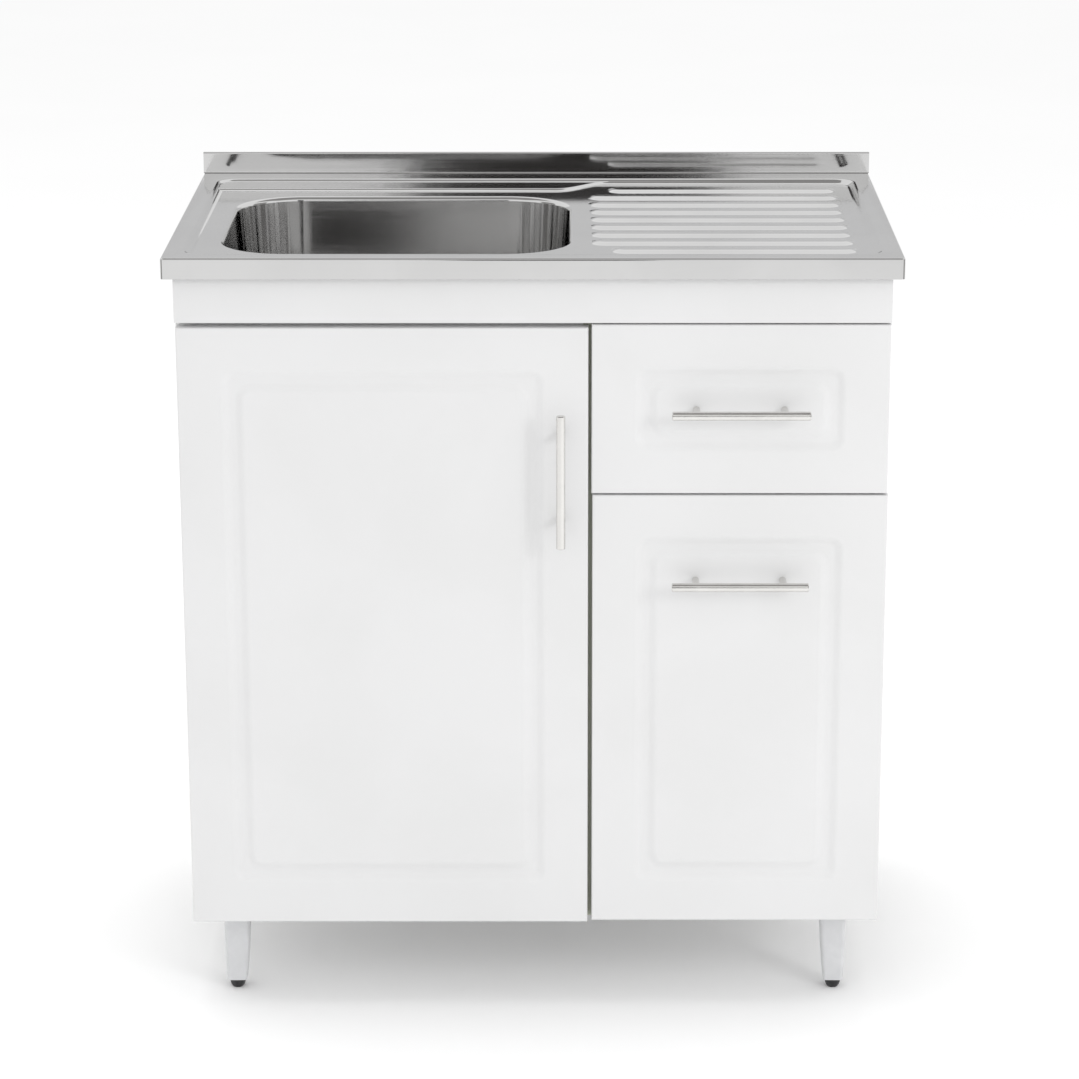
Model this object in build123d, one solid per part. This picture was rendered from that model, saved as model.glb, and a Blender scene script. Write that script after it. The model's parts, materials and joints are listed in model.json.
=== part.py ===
"""Kitchen sink unit: a sit-on steel sink top with bowl and drainer over a white base cabinet
with one door, two drawers on roller runners and four adjustable legs.

Millimetres. X runs to the right, -Y to the front and +Z up. The origin is on the floor, under
the middle of the whole unit's outline.
"""
from build123d import *
import os

# ---------------------------------------------------------------- sink top, one pressed sheet
SINK_WIDTH = 800.0
SINK_DEPTH = 500.0
RIM_HEIGHT = 875.0        # floor to the flat rim
SHEET = 0.8
APRON = 23.0              # height of the folded front and side edges
APRON_RETURN = 6.0        # hem folded inwards under the apron
APRON_CORNER = 5.0
RIM_EDGE = 2.5            # bend between rim and apron
UPSTAND = 25.0            # height of the upturned back edge
UPSTAND_FOLD = 6.0
UPSTAND_RETURN = 12.0
RIM_FLAT = 19.5           # flat border round the pressed recess
BEVEL = 11.0
RECESS_DEPTH = 5.0
RECESS_CORNER = 26.0
RECESS_BACK = 40.0        # recess's back edge, in front of the sink's back
LEDGE_HEIGHT = 2.6        # raised ledge behind the bowl
LEDGE_DEPTH = 56.0
LEDGE_TURN = 16.0         # its S-curve starts this far left of the bowl's right side
LEDGE_CURVE = 64.0
LEDGE_CHAMFER = 2.2
DRAINER_GAP = 20.0        # between the bowl and the ribs
RIB_END = 44.0            # ribs' right ends from the sink's right side
RIB_FIRST = 65.0          # first rib's centre, behind the rim's front
RIB_PITCH = 42.9
RIB_WIDTH = 37.0
RIB_HEIGHT = 2.4
RIB_SLOPE = 66.0          # degrees from upright
RIB_SETBACK = 22.0        # the outer ribs start this much later
BOWL_SIDE = 57.0          # from the sink's left side
BOWL_WIDTH = 383.0
BOWL_FRONT = 51.0         # behind the rim's front
BOWL_BACK_GAP = 35.0      # between the bowl and the ledge
BOWL_DEPTH = 150.0
BOWL_CORNER = 72.0
BOWL_DRAFT = 4.0          # degrees
BOWL_FLOOR_RADIUS = 32.0
BOWL_LIP = 5.0

# ---------------------------------------------------------------- basket strainer in the bowl
DRAIN_HOLE_R = 45.0
FLANGE_R = 56.0
FLANGE_THICK = 1.2
FLANGE_THROAT = 1.0       # bevel where the flange turns down into the cup
STRAINER_R = 43.5
STRAINER_WALL = 1.2
STRAINER_DEPTH = 46.0
TAIL_R = 20.0
TAIL_WALL = 1.6
TAIL_LENGTH = 38.0
GASKET_THICK = 3.0
NUT_R = 54.0
NUT_HEIGHT = 12.0
NUT_GRIPS = 6
NUT_GRIP = 4.0            # grip lug, measured outwards and round the nut
NUT_GRIP_WIDTH = 8.0
BASKET_R = 36.0
BASKET_RIM_R = 41.6
BASKET_WALL = 1.0
BASKET_HEIGHT = 38.0
BASKET_BEVEL = 3.0        # between its floor and its wall
BASKET_HOLES = 12
BASKET_HOLE_R = 3.2
BASKET_HOLE_RING = 26.0
KNOB_R = 7.0
KNOB_STEM_R = 3.0
KNOB_HEIGHT = 6.0
KNOB_BEVEL = 2.0

# ---------------------------------------------------------------- cabinet
SINK_OVERHANG = 12.0      # sink beyond the cabinet at each side
BOARD = 15.0
FRONT_THICK = 16.0
FRONT_SETBACK = 12.0      # fronts' faces behind the rim's front
FRONT_GAP = 2.5           # between the carcass and the backs of the fronts
BACK_PANEL = 3.0
BACK_PANEL_INSET = 2.0
CUTOUT_SIDE = 98.0        # plumbing cut-out in the back panel, from the cabinet's left side
CUTOUT_WIDTH = 280.0
CUTOUT_DROP = 20.0        # its upper edge below the bowl's floor
CUTOUT_HEIGHT = 300.0
CUTOUT_CORNER = 30.0
RAIL_DROP = 91.0          # front rail's lower edge below the rim
BACK_RAIL_HEIGHT = 90.0
FASCIA_DROP = 73.5        # fascia's lower edge below the rim
PARTITION_GAP = 14.5      # between the bowl and the partition
FIT = 0.3                 # clearance where the pressed sheet passes the boards
WALL_HOLE_R = 3.0
WALL_HOLE_CENTRES = 600.0
WALL_HOLE_RISE = 25.0     # above the back rail's lower edge

# ---------------------------------------------------------------- fronts
DOOR_SIDE_INSET = 1.0     # door's hinge edge from the cabinet's left side
DOOR_OVERLAP = 5.5        # door over the partition
DOOR_TOP_GAP = 5.5        # under the fascia
DOOR_DROP = 1.0           # door's lower edge below the carcass
FRONTS_GAP = 3.5          # between the door and the drawers
DRAWER_SIDE_INSET = 0.5   # drawer fronts from the cabinet's right side
DRAWER_TOP_GAP = 2.0      # under the fascia
UPPER_HEIGHT = 189.5
DRAWER_GAP = 2.0          # between the two drawer fronts
LOWER_RISE = 1.0          # lower front's edge above the carcass's
LOWER_SHIFT = 1.0         # the lower front hangs this much further right
EDGE_ROUND = 2.0
HINGE_EDGE_ROUND = 3.0
GROOVE_INSET = 46.0       # routed frame, from the front's edge
GROOVE_SLOPE = 12.0
GROOVE_FLOOR = 3.0
GROOVE_DEPTH = 3.0
GROOVE_CORNER = 16.0

# ---------------------------------------------------------------- bar handles
HANDLE_LENGTH = 150.0
HANDLE_R = 5.0
HANDLE_CENTRES = 96.0
HANDLE_REACH = 33.0       # from the front's face to the bar's far side
POST_R = 4.0
HANDLE_END = 0.8          # chamfer on the bar's ends
DOOR_HANDLE_INSET = 30.0  # from the door's free edge
DOOR_HANDLE_DROP = 166.0  # from the door's top to the handle's middle
LOWER_HANDLE_DROP = 97.0
HANDLE_SCREW_R = 2.0
HANDLE_SCREW_DEPTH = 10.0
SCREW_CLEARANCE = 0.15

# ---------------------------------------------------------------- concealed hinges
HINGE_END = 100.0         # hinge centre from the door's top and bottom
CUP_INSET = 21.5          # cup's centre from the door's hinge edge
CUP_R = 17.5
CUP_WALL = 0.8
CUP_DEPTH = 12.0
CUP_FLANGE = 1.2
CUP_FLANGE_LENGTH = 60.0
CUP_FLANGE_WIDTH = 16.0
CUP_SCREW_CENTRES = 48.0
CUP_FLANGE_OFFSET = 3.0   # flange's middle beyond the cup's
PIVOT_INSET = 8.0         # pivot from the door's hinge edge
PIVOT_DEPTH = 8.5         # pivot in front of the door's back face
PIN_R = 1.2
PIN_LENGTH = 18.8
PIN_CLEARANCE = 0.05
BARREL_R = 2.0
ARM_STEEL = 1.4
ARM_WIDTH = 10.0
ARM_REACH = 11.0          # from the pivot to the arm's upright leaf
ARM_END = 66.0            # arm's back end behind the carcass front
PLATE_LENGTH = 52.0
PLATE_WIDTH = 18.0
PLATE_START = 22.0
PLATE_SCREW_CENTRES = 32.0
PLATE_WING = 50.0
SMALL_SCREW_R = 1.75
SMALL_HEAD_R = 3.5
SMALL_HEAD = 1.6
SMALL_SCREW_LENGTH = 11.0

# ---------------------------------------------------------------- drawers
DRAWER_SIDE = 12.0
DRAWER_BASE = 3.0
BASE_RISE = 10.0          # base above the sides' lower edges
BASE_GROOVE = 5.0
GROOVE_PLAY = 0.1
UPPER_BOX_RISE = 32.0     # box above its front's lower edge
UPPER_BOX_HEIGHT = 110.0
LOWER_BOX_RISE = 45.0
LOWER_BOX_HEIGHT = 230.0

# ---------------------------------------------------------------- roller runners
RUNNER_GAP = 12.5         # between the cabinet and the drawer's side
RUNNER_STEEL = 1.2
RUNNER_LENGTH = 400.0     # also the drawer boxes' length
ROLLER_R = 9.0
ROLLER_WIDTH = 5.0
ROLLER_PLAY = 0.1
ROLLER_SIDE_PLAY = 0.5
ROLLER_BEVEL = 0.5
AXLE_R = 2.0
AXLE_CLEARANCE = 0.05
CHANNEL_DEPTH = 9.0
CHANNEL_PLAY = 0.4
STRIP_CLEARANCE = 1.2     # drawer strip over the channel
STRIP_REACH = 3.0         # strip's outer edge from the cabinet
STRIP_UNDER = 11.0        # strip under the drawer's side
WEB_HEIGHT = 16.0
CABINET_WEB_RISE = 12.0
ROLLER_END = 12.0         # roller centre from its runner's end
TAB_OFFSET = 9.8

# ---------------------------------------------------------------- legs and feet
LEG_HEIGHT = 95.0
LEG_TOP = 30.0
LEG_FOOT = 22.5
LEG_SPLAY = 1.5
LEG_CORNER = 5.0
LEG_PLATE = 52.0
LEG_PLATE_THICK = 4.0
LEG_INSET = 45.0          # leg's centre from the cabinet's side
FRONT_LEG_SETBACK = 75.0  # from the rim's front
BACK_LEG_INSET = 55.0     # from the boards' back
FOOT_R = 9.0
FOOT_HEIGHT = 11.0
FOOT_FLAT_R = 6.0
FOOT_BAND = 2.2           # upright band above the foot's dome
FOOT_BULGE_R = 8.4        # dome's radius halfway up
STUD_R = 3.0
STUD_LENGTH = 34.0
STUD_CLEARANCE = 0.05
LEG_SCREW_SPREAD = 19.5
LEG_SCREW_LENGTH = 15.0

# ---------------------------------------------------------------- small fixings
CONFIRMAT_R = 3.0
CONFIRMAT_HEAD_R = 5.0
CONFIRMAT_HEAD = 2.0
CONFIRMAT_LENGTH = 50.0
CONFIRMAT_INSET = 110.0   # bottom screws, from the boards' front and back edges
CLIP_STEEL = 1.5
CLIP_WIDTH = 20.0
CLIP_HEIGHT = 30.0
CLIP_REACH = 17.0
CLIP_PLACES = (-110.0, 120.0)
BUMPER_R = 4.0
BUMPER_INSET = 20.0

# ---------------------------------------------------------------- planes worked out from these
RIM_FRONT = -(SINK_DEPTH - HANDLE_REACH + FRONT_SETBACK) / 2
SINK_BACK = RIM_FRONT + SINK_DEPTH
UPSTAND_FRONT = SINK_BACK - UPSTAND_FOLD
RIM_UNDER = RIM_HEIGHT - SHEET
RECESS_FRONT_Y = RIM_FRONT + RIM_FLAT
RECESS_BACK_Y = SINK_BACK - RECESS_BACK
RECESS_FLOOR = RIM_HEIGHT - RECESS_DEPTH
LEDGE_FRONT_Y = RECESS_BACK_Y - LEDGE_DEPTH
BOWL_FLOOR = RECESS_FLOOR - BOWL_DEPTH
BOWL_LEFT = -SINK_WIDTH / 2 + BOWL_SIDE
BOWL_RIGHT = BOWL_LEFT + BOWL_WIDTH
BOWL_FRONT_Y = RIM_FRONT + BOWL_FRONT
BOWL_LENGTH = LEDGE_FRONT_Y - BOWL_BACK_GAP - BOWL_FRONT_Y
BOWL_X = BOWL_LEFT + BOWL_WIDTH / 2
BOWL_Y = BOWL_FRONT_Y + BOWL_LENGTH / 2
BASKET_SEAT = BOWL_FLOOR + FLANGE_THICK - STRAINER_DEPTH + STRAINER_WALL
LEDGE_RIGHT = BOWL_RIGHT - LEDGE_TURN
RIB_LEFT = BOWL_RIGHT + DRAINER_GAP
RIB_RIGHT = SINK_WIDTH / 2 - RIB_END
RIB_ROOM = RECESS_BACK_Y - BEVEL - RIB_WIDTH / 2 - (RIM_FRONT + RIB_FIRST)
RIB_COUNT = int(RIB_ROOM / RIB_PITCH) + 1

FRONT_FACE = RIM_FRONT + FRONT_SETBACK
FRONT_BACK = FRONT_FACE + FRONT_THICK
CARCASS_FRONT = FRONT_BACK + FRONT_GAP
CARCASS_BACK = UPSTAND_FRONT
BOARD_BACK = CARCASS_BACK - BACK_PANEL
SIDE_OUT = SINK_WIDTH / 2 - SINK_OVERHANG
SIDE_IN = SIDE_OUT - BOARD
CARCASS_BOTTOM = FOOT_HEIGHT + LEG_HEIGHT
BOTTOM_TOP = CARCASS_BOTTOM + BOARD
RAIL_BOTTOM = RIM_HEIGHT - RAIL_DROP
RAIL_TOP = RECESS_FLOOR - SHEET
RAIL_BACK = CARCASS_FRONT + BOARD
BACK_RAIL_FRONT = BOARD_BACK - BOARD
BACK_RAIL_BOTTOM = RIM_UNDER - BACK_RAIL_HEIGHT
FASCIA_BOTTOM = RIM_HEIGHT - FASCIA_DROP
PARTITION_LEFT = BOWL_RIGHT + PARTITION_GAP
PARTITION_RIGHT = PARTITION_LEFT + BOARD
CUTOUT_TOP = BOWL_FLOOR - CUTOUT_DROP

DOOR_X = (-SIDE_OUT + DOOR_SIDE_INSET, PARTITION_LEFT + DOOR_OVERLAP)
DOOR_Z = (CARCASS_BOTTOM - DOOR_DROP, FASCIA_BOTTOM - DOOR_TOP_GAP)
UPPER_X = (DOOR_X[1] + FRONTS_GAP, SIDE_OUT - DRAWER_SIDE_INSET)
UPPER_Z = (FASCIA_BOTTOM - DRAWER_TOP_GAP - UPPER_HEIGHT, FASCIA_BOTTOM - DRAWER_TOP_GAP)
LOWER_X = (UPPER_X[0] + LOWER_SHIFT, UPPER_X[1] + LOWER_SHIFT)
LOWER_Z = (CARCASS_BOTTOM + LOWER_RISE, UPPER_Z[0] - DRAWER_GAP)

PIVOT_X = DOOR_X[0] + PIVOT_INSET
PIVOT_Y = FRONT_BACK - PIVOT_DEPTH
CUP_X = DOOR_X[0] + CUP_INSET
CUP_FLANGE_X = CUP_X + CUP_FLANGE_OFFSET
ARM_X = PIVOT_X + ARM_REACH
HINGE_HEIGHTS = {"upper": DOOR_Z[1] - HINGE_END, "lower": DOOR_Z[0] + HINGE_END}

BOX_LEFT = PARTITION_RIGHT + RUNNER_GAP
BOX_RIGHT = SIDE_IN - RUNNER_GAP
BOX_BACK = FRONT_BACK + RUNNER_LENGTH
UPPER_BOX_BOTTOM = UPPER_Z[0] + UPPER_BOX_RISE
LOWER_BOX_BOTTOM = LOWER_Z[0] + LOWER_BOX_RISE
FRONT_ROLLER_Y = CARCASS_FRONT + ROLLER_END
REAR_ROLLER_Y = BOX_BACK - ROLLER_END
STRIP_UNDERSIDE = -RUNNER_STEEL
CHANNEL_TOP = STRIP_UNDERSIDE - STRIP_CLEARANCE
CHANNEL_INNER_TOP = CHANNEL_TOP - RUNNER_STEEL
CHANNEL_FLOOR = CHANNEL_INNER_TOP - 2 * ROLLER_R - CHANNEL_PLAY
FRONT_ROLLER_Z = STRIP_UNDERSIDE - ROLLER_R - ROLLER_PLAY
REAR_ROLLER_Z = CHANNEL_FLOOR + ROLLER_R + ROLLER_PLAY

LEG_X = SIDE_OUT - LEG_INSET
LEG_PLACES = {
    "front_left": (-LEG_X, RIM_FRONT + FRONT_LEG_SETBACK),
    "front_right": (LEG_X, RIM_FRONT + FRONT_LEG_SETBACK),
    "rear_left": (-LEG_X, BOARD_BACK - BACK_LEG_INSET),
    "rear_right": (LEG_X, BOARD_BACK - BACK_LEG_INSET),
}


# ---------------------------------------------------------------- plain shapes
def block(x, y, z):
    """Block between two values on each axis."""
    size = [pair[1] - pair[0] for pair in (x, y, z)]
    middle = [(pair[0] + pair[1]) / 2 for pair in (x, y, z)]
    return Pos(*middle) * Box(*size)


def rod(start, direction, radius, length):
    """Cylinder from a point along a direction."""
    return Plane(origin=start, z_dir=direction) * Cylinder(
        radius, length, align=(Align.CENTER, Align.CENTER, Align.MIN)
    )


def turned(x, y, outline):
    """Solid turned about an upright axis from an outline of (radius, height) points."""
    face = make_face(Polyline(*[(r, 0, z) for r, z in outline], close=True))
    return Pos(x, y, 0) * revolve(face, Axis.Z)


def panhead(start, direction, length):
    """Small screw: its head lies on the far side of the start, its shank runs along direction."""
    shank = rod(start, direction, SMALL_SCREW_R, length)
    outwards = [-part for part in direction]
    return shank + rod(start, outwards, SMALL_HEAD_R, SMALL_HEAD)


def screw_hole(start, direction, length):
    """Hole that clears a small screw's shank."""
    return rod(start, direction, SMALL_SCREW_R + SCREW_CLEARANCE, length + SCREW_CLEARANCE)


def group(pieces):
    """Separate solids kept together as one sub-part."""
    solids = [solid for piece in pieces for solid in piece.solids()]
    return Compound(children=solids)


# ---------------------------------------------------------------- sink top
def recess_block(drop, rise=0.0):
    """Space over the pressed recess, with its sloping sides, lowered by drop and extended by rise."""
    centre = (RECESS_FRONT_Y + RECESS_BACK_Y) / 2
    width = SINK_WIDTH - 2 * RIM_FLAT
    depth = RECESS_BACK_Y - RECESS_FRONT_Y
    top = Pos(0, centre, RIM_HEIGHT - drop) * RectangleRounded(width, depth, RECESS_CORNER)
    floor = Pos(0, centre, RECESS_FLOOR - drop) * RectangleRounded(
        width - 2 * BEVEL, depth - 2 * BEVEL, RECESS_CORNER - BEVEL
    )
    space = loft([top, floor], ruled=True)
    return space + extrude(top, amount=rise) if rise else space


def recess_relief():
    """Room that the boards leave for the underside of the pressed recess."""
    return recess_block(SHEET + FIT, rise=SHEET + FIT)


def bowl_block(grow):
    """The bowl's inside, or with grow its outside."""
    mouth = Pos(BOWL_X, BOWL_Y, BOWL_FLOOR - grow) * RectangleRounded(
        BOWL_WIDTH + 2 * grow, BOWL_LENGTH + 2 * grow, BOWL_CORNER + grow
    )
    upright = extrude(mouth, amount=BOWL_DEPTH + grow, taper=-BOWL_DRAFT)
    over = BOWL_WIDTH + 2 * grow - upright.bounding_box().size.X
    mouth = Pos(BOWL_X, BOWL_Y, BOWL_FLOOR - grow) * RectangleRounded(
        BOWL_WIDTH + 2 * grow + over, BOWL_LENGTH + 2 * grow + over, BOWL_CORNER + grow + over / 2
    )
    body = extrude(mouth, amount=BOWL_DEPTH + grow, taper=-BOWL_DRAFT)
    return fillet(body.faces().sort_by(Axis.Z)[0].edges(), BOWL_FLOOR_RADIUS + grow)


def round_bowl_lip(shape, height, radius):
    """Round the bend where the bowl's wall meets the recess's floor."""
    mouth = bowl_block(BOWL_LIP).bounding_box()
    edges = []
    for edge in shape.edges():
        box = edge.bounding_box()
        level = abs(box.min.Z - height) < 0.01 and abs(box.max.Z - height) < 0.01
        inside = box.min.X > mouth.min.X and box.max.X < mouth.max.X
        inside = inside and box.min.Y > mouth.min.Y and box.max.Y < mouth.max.Y
        if level and inside:
            edges.append(edge)
    return fillet(edges, radius)


def ledge():
    """Raised ledge behind the bowl, ending in an S-curve beside the drainer."""
    front = LEDGE_FRONT_Y
    back = RECESS_BACK_Y + RIM_FLAT / 2
    left = -SINK_WIDTH / 2 + RIM_FLAT / 2
    middle = (LEDGE_RIGHT + LEDGE_CURVE / 2, (front + back) / 2)
    end = (LEDGE_RIGHT + LEDGE_CURVE, back)
    edge = Line((left, front), (LEDGE_RIGHT, front))
    first = TangentArc((LEDGE_RIGHT, front), middle, tangent=(1, 0))
    second = TangentArc(end, middle, tangent=(-1, 0))
    rest = Polyline(end, (left, back), (left, front))
    outline = make_face(edge + first + second + rest)
    raised = Pos(0, 0, RECESS_FLOOR) * extrude(outline, amount=LEDGE_HEIGHT)
    top = raised.faces().sort_by(Axis.Z)[-1].edges()
    shown = [edge for edge in top if edge.center().X > left + RIM_FLAT]
    shown = [edge for edge in shown if edge.center().Y < back - RIM_FLAT / 4]
    return chamfer(shown, LEDGE_CHAMFER)


def ribs():
    """Raised ribs of the drainer, with rounded ends and sloping sides."""
    made = []
    for index in range(RIB_COUNT):
        outer = index in (0, RIB_COUNT - 1)
        left = RIB_LEFT + (RIB_SETBACK if outer else 0)
        place = Pos((left + RIB_RIGHT) / 2, RIM_FRONT + RIB_FIRST + index * RIB_PITCH, RECESS_FLOOR)
        outline = place * SlotOverall(RIB_RIGHT - left, RIB_WIDTH)
        made.append(extrude(outline, amount=RIB_HEIGHT, taper=RIB_SLOPE))
    return made


def rim_block(inset):
    """Outside of the rim and apron, or with inset its hollow underside."""
    side = SINK_WIDTH / 2 - inset
    back = UPSTAND_FRONT + SHEET + inset
    low = RIM_HEIGHT - APRON - inset
    body = block((-side, side), (RIM_FRONT + inset, back), (low, RIM_HEIGHT - inset))
    corners = body.edges().filter_by(Axis.Z).group_by(Axis.Y)[0]
    body = fillet(corners, APRON_CORNER - inset)
    top = body.faces().sort_by(Axis.Z)[-1]
    bends = [edge for edge in top.edges() if edge.center().Y < back - SHEET]
    return fillet(bends, RIM_EDGE - inset)


def apron_return():
    """Hem folded inwards along the lower edge of the apron."""
    side = SINK_WIDTH / 2 - SHEET
    front = RIM_FRONT + SHEET
    low = RIM_HEIGHT - APRON
    hem = block((-side, side), (front, UPSTAND_FRONT), (low, low + SHEET))
    hem = fillet(hem.edges().filter_by(Axis.Z).group_by(Axis.Y)[0], APRON_CORNER - SHEET)
    inner = side - APRON_RETURN
    return hem - block((-inner, inner), (front + APRON_RETURN, SINK_BACK), (low - SHEET, RIM_HEIGHT))


def upstand():
    """Upturned back edge with its fold and back return."""
    side = SINK_WIDTH / 2
    top = RIM_HEIGHT + UPSTAND
    wall = block((-side, side), (UPSTAND_FRONT, SINK_BACK), (RIM_UNDER, top))
    wall = fillet(wall.edges().filter_by(Axis.X).group_by(Axis.Z)[-1], 2 * SHEET)
    hollow = block(
        (-side - SHEET, side + SHEET), (UPSTAND_FRONT + SHEET, SINK_BACK - SHEET),
        (RIM_UNDER - SHEET, top - SHEET),
    )
    hollow = fillet(hollow.edges().filter_by(Axis.X).group_by(Axis.Z)[-1], SHEET)
    below = block(
        (-side - SHEET, side + SHEET), (UPSTAND_FRONT + SHEET, SINK_BACK + SHEET),
        (RIM_UNDER - SHEET, top - UPSTAND_RETURN),
    )
    return wall - hollow - below


def sink_top():
    """Rim, apron, upstand, recess, ledge, drainer and bowl from one sheet."""
    above = round_bowl_lip(recess_block(0) + bowl_block(0), RECESS_FLOOR, BOWL_LIP)
    below = recess_block(SHEET) + bowl_block(SHEET)
    below = round_bowl_lip(below, RECESS_FLOOR - SHEET, BOWL_LIP - SHEET)
    for raised in [ledge(), *ribs()]:
        above -= raised
        below -= Pos(0, 0, -SHEET) * raised
    sheet = rim_block(0) - rim_block(SHEET)
    sheet += apron_return()
    sheet += upstand()
    sheet += below
    sheet -= above
    return sheet - rod((BOWL_X, BOWL_Y, BOWL_FLOOR + SHEET), (0, 0, -1), DRAIN_HOLE_R, 4 * SHEET)


# ---------------------------------------------------------------- basket strainer
def strainer_body():
    """Flanged cup that drops through the bowl's hole, with its outlet tail."""
    flange_top = BOWL_FLOOR + FLANGE_THICK
    inner = STRAINER_R - STRAINER_WALL
    cup_under = flange_top - STRAINER_DEPTH
    tail_in = TAIL_R - TAIL_WALL
    tail_end = cup_under - TAIL_LENGTH
    return turned(BOWL_X, BOWL_Y, [
        (FLANGE_R, BOWL_FLOOR), (FLANGE_R - FLANGE_THICK, flange_top),
        (inner + FLANGE_THROAT, flange_top), (inner, flange_top - FLANGE_THROAT),
        (inner, cup_under + STRAINER_WALL),
        (tail_in, cup_under + STRAINER_WALL), (tail_in, tail_end), (TAIL_R, tail_end),
        (TAIL_R, cup_under), (STRAINER_R, cup_under), (STRAINER_R, BOWL_FLOOR),
    ])


def strainer_gasket():
    """Rubber ring between the bowl's underside and the nut."""
    top = BOWL_FLOOR - SHEET
    inner = STRAINER_R + FIT
    low = top - GASKET_THICK
    return turned(BOWL_X, BOWL_Y, [(inner, low), (FLANGE_R, low), (FLANGE_R, top), (inner, top)])


def strainer_nut():
    """Large plastic ring nut with grip lugs."""
    top = BOWL_FLOOR - SHEET - GASKET_THICK
    inner = STRAINER_R + FIT
    low = top - NUT_HEIGHT
    outer = NUT_R - NUT_GRIP / 2
    nut = turned(BOWL_X, BOWL_Y, [(inner, low), (outer, low), (outer, top), (inner, top)])
    for index in range(NUT_GRIPS):
        turn = Rot(0, 0, index * 360 / NUT_GRIPS)
        lug = turn * Pos(outer, 0, 0) * Box(NUT_GRIP, NUT_GRIP_WIDTH, NUT_HEIGHT)
        nut += Pos(BOWL_X, BOWL_Y, (top + low) / 2) * lug
    return nut


def strainer_basket():
    """Lift-out basket with a perforated floor."""
    seat = BASKET_SEAT
    top = seat + BASKET_HEIGHT
    inner = BASKET_R - BASKET_WALL
    basket = turned(BOWL_X, BOWL_Y, [
        (0, seat), (BASKET_R - BASKET_BEVEL, seat), (BASKET_R, seat + BASKET_BEVEL),
        (BASKET_R, top - BASKET_WALL), (BASKET_RIM_R, top - BASKET_WALL), (BASKET_RIM_R, top),
        (inner, top), (inner, seat + BASKET_BEVEL + BASKET_WALL),
        (inner - BASKET_BEVEL, seat + BASKET_WALL), (0, seat + BASKET_WALL),
    ])
    for index in range(BASKET_HOLES):
        turn = Rot(0, 0, index * 360 / BASKET_HOLES)
        hole = turn * Pos(BASKET_HOLE_RING, 0, 0) * Cylinder(BASKET_HOLE_R, 3 * BASKET_WALL)
        basket -= Pos(BOWL_X, BOWL_Y, seat) * hole
    return basket


def basket_knob():
    """Knob on a stem that stands on the basket's floor, to lift it by."""
    low = BASKET_SEAT + BASKET_WALL
    under = BASKET_SEAT + BASKET_HEIGHT
    top = under + KNOB_HEIGHT
    return turned(BOWL_X, BOWL_Y, [
        (0, low), (KNOB_STEM_R, low), (KNOB_STEM_R, under), (KNOB_R, under),
        (KNOB_R, top - KNOB_BEVEL), (KNOB_R - KNOB_BEVEL, top), (0, top),
    ])


# ---------------------------------------------------------------- carcass
def confirmats(side):
    """Carcass screws through one side panel, with the line each one runs along."""
    bottom = (CARCASS_BOTTOM + BOTTOM_TOP) / 2
    places = [
        (CARCASS_FRONT + CONFIRMAT_INSET, bottom), (BOARD_BACK - CONFIRMAT_INSET, bottom),
        ((CARCASS_FRONT + RAIL_BACK) / 2, (RAIL_BOTTOM + RAIL_TOP) / 2),
        ((BACK_RAIL_FRONT + BOARD_BACK) / 2, BACK_RAIL_BOTTOM + BACK_RAIL_HEIGHT / 2),
    ]
    return [((side * SIDE_OUT, y, z), (-side, 0, 0)) for y, z in places]


def confirmat(start, direction, grow):
    """One carcass screw with its head flush in the board; grow makes its hole."""
    head = rod(start, direction, CONFIRMAT_HEAD_R + grow, CONFIRMAT_HEAD + grow)
    return head + rod(start, direction, CONFIRMAT_R + grow, CONFIRMAT_LENGTH + grow)


def drill_confirmats(board):
    """Clear a board for the carcass screws of both sides."""
    for side in (-1, 1):
        for start, direction in confirmats(side):
            board -= confirmat(start, direction, SCREW_CLEARANCE)
    return board


def hinge_plate_screws():
    """Where the hinge plates' screws start, on the plates' faces."""
    y = CARCASS_FRONT + PLATE_START + PLATE_LENGTH / 2
    x = ARM_X - (ARM_X + SIDE_IN) / 2
    starts = []
    for z in HINGE_HEIGHTS.values():
        for offset in (-PLATE_SCREW_CENTRES / 2, PLATE_SCREW_CENTRES / 2):
            starts.append((x, y, z + offset))
    return starts


def clip_screws():
    """Where the sink clips' screws start, with their direction into the side panels."""
    starts = []
    for side in (-1, 1):
        for y in CLIP_PLACES:
            start = (side * (SIDE_IN - CLIP_STEEL), y, RAIL_TOP - CLIP_HEIGHT / 2)
            starts.append((start, (side, 0, 0)))
    return starts


def side_panel(side):
    """Side board, relieved under the sink's recess and drilled for its screws."""
    x = sorted((side * SIDE_IN, side * SIDE_OUT))
    board = block(x, (CARCASS_FRONT, BOARD_BACK), (CARCASS_BOTTOM, RIM_UNDER))
    board -= recess_relief()
    for start, direction in clip_screws():
        board -= screw_hole(start, direction, SMALL_SCREW_LENGTH)
    if side < 0:
        for start in hinge_plate_screws():
            board -= screw_hole(start, (-1, 0, 0), SMALL_SCREW_LENGTH)
    return drill_confirmats(board)


def bottom_panel():
    """Floor of the cabinet, between the sides."""
    board = block((-SIDE_IN, SIDE_IN), (CARCASS_FRONT, BOARD_BACK), (CARCASS_BOTTOM, BOTTOM_TOP))
    for x, y in LEG_PLACES.values():
        for place in leg_screw_places(x, y):
            board -= screw_hole(place, (0, 0, 1), LEG_SCREW_LENGTH)
    return drill_confirmats(board)


def front_rail():
    """Stretcher between the sides behind the fascia."""
    rail = block((-SIDE_IN, SIDE_IN), (CARCASS_FRONT, RAIL_BACK), (RAIL_BOTTOM, RAIL_TOP))
    return drill_confirmats(rail)


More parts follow.
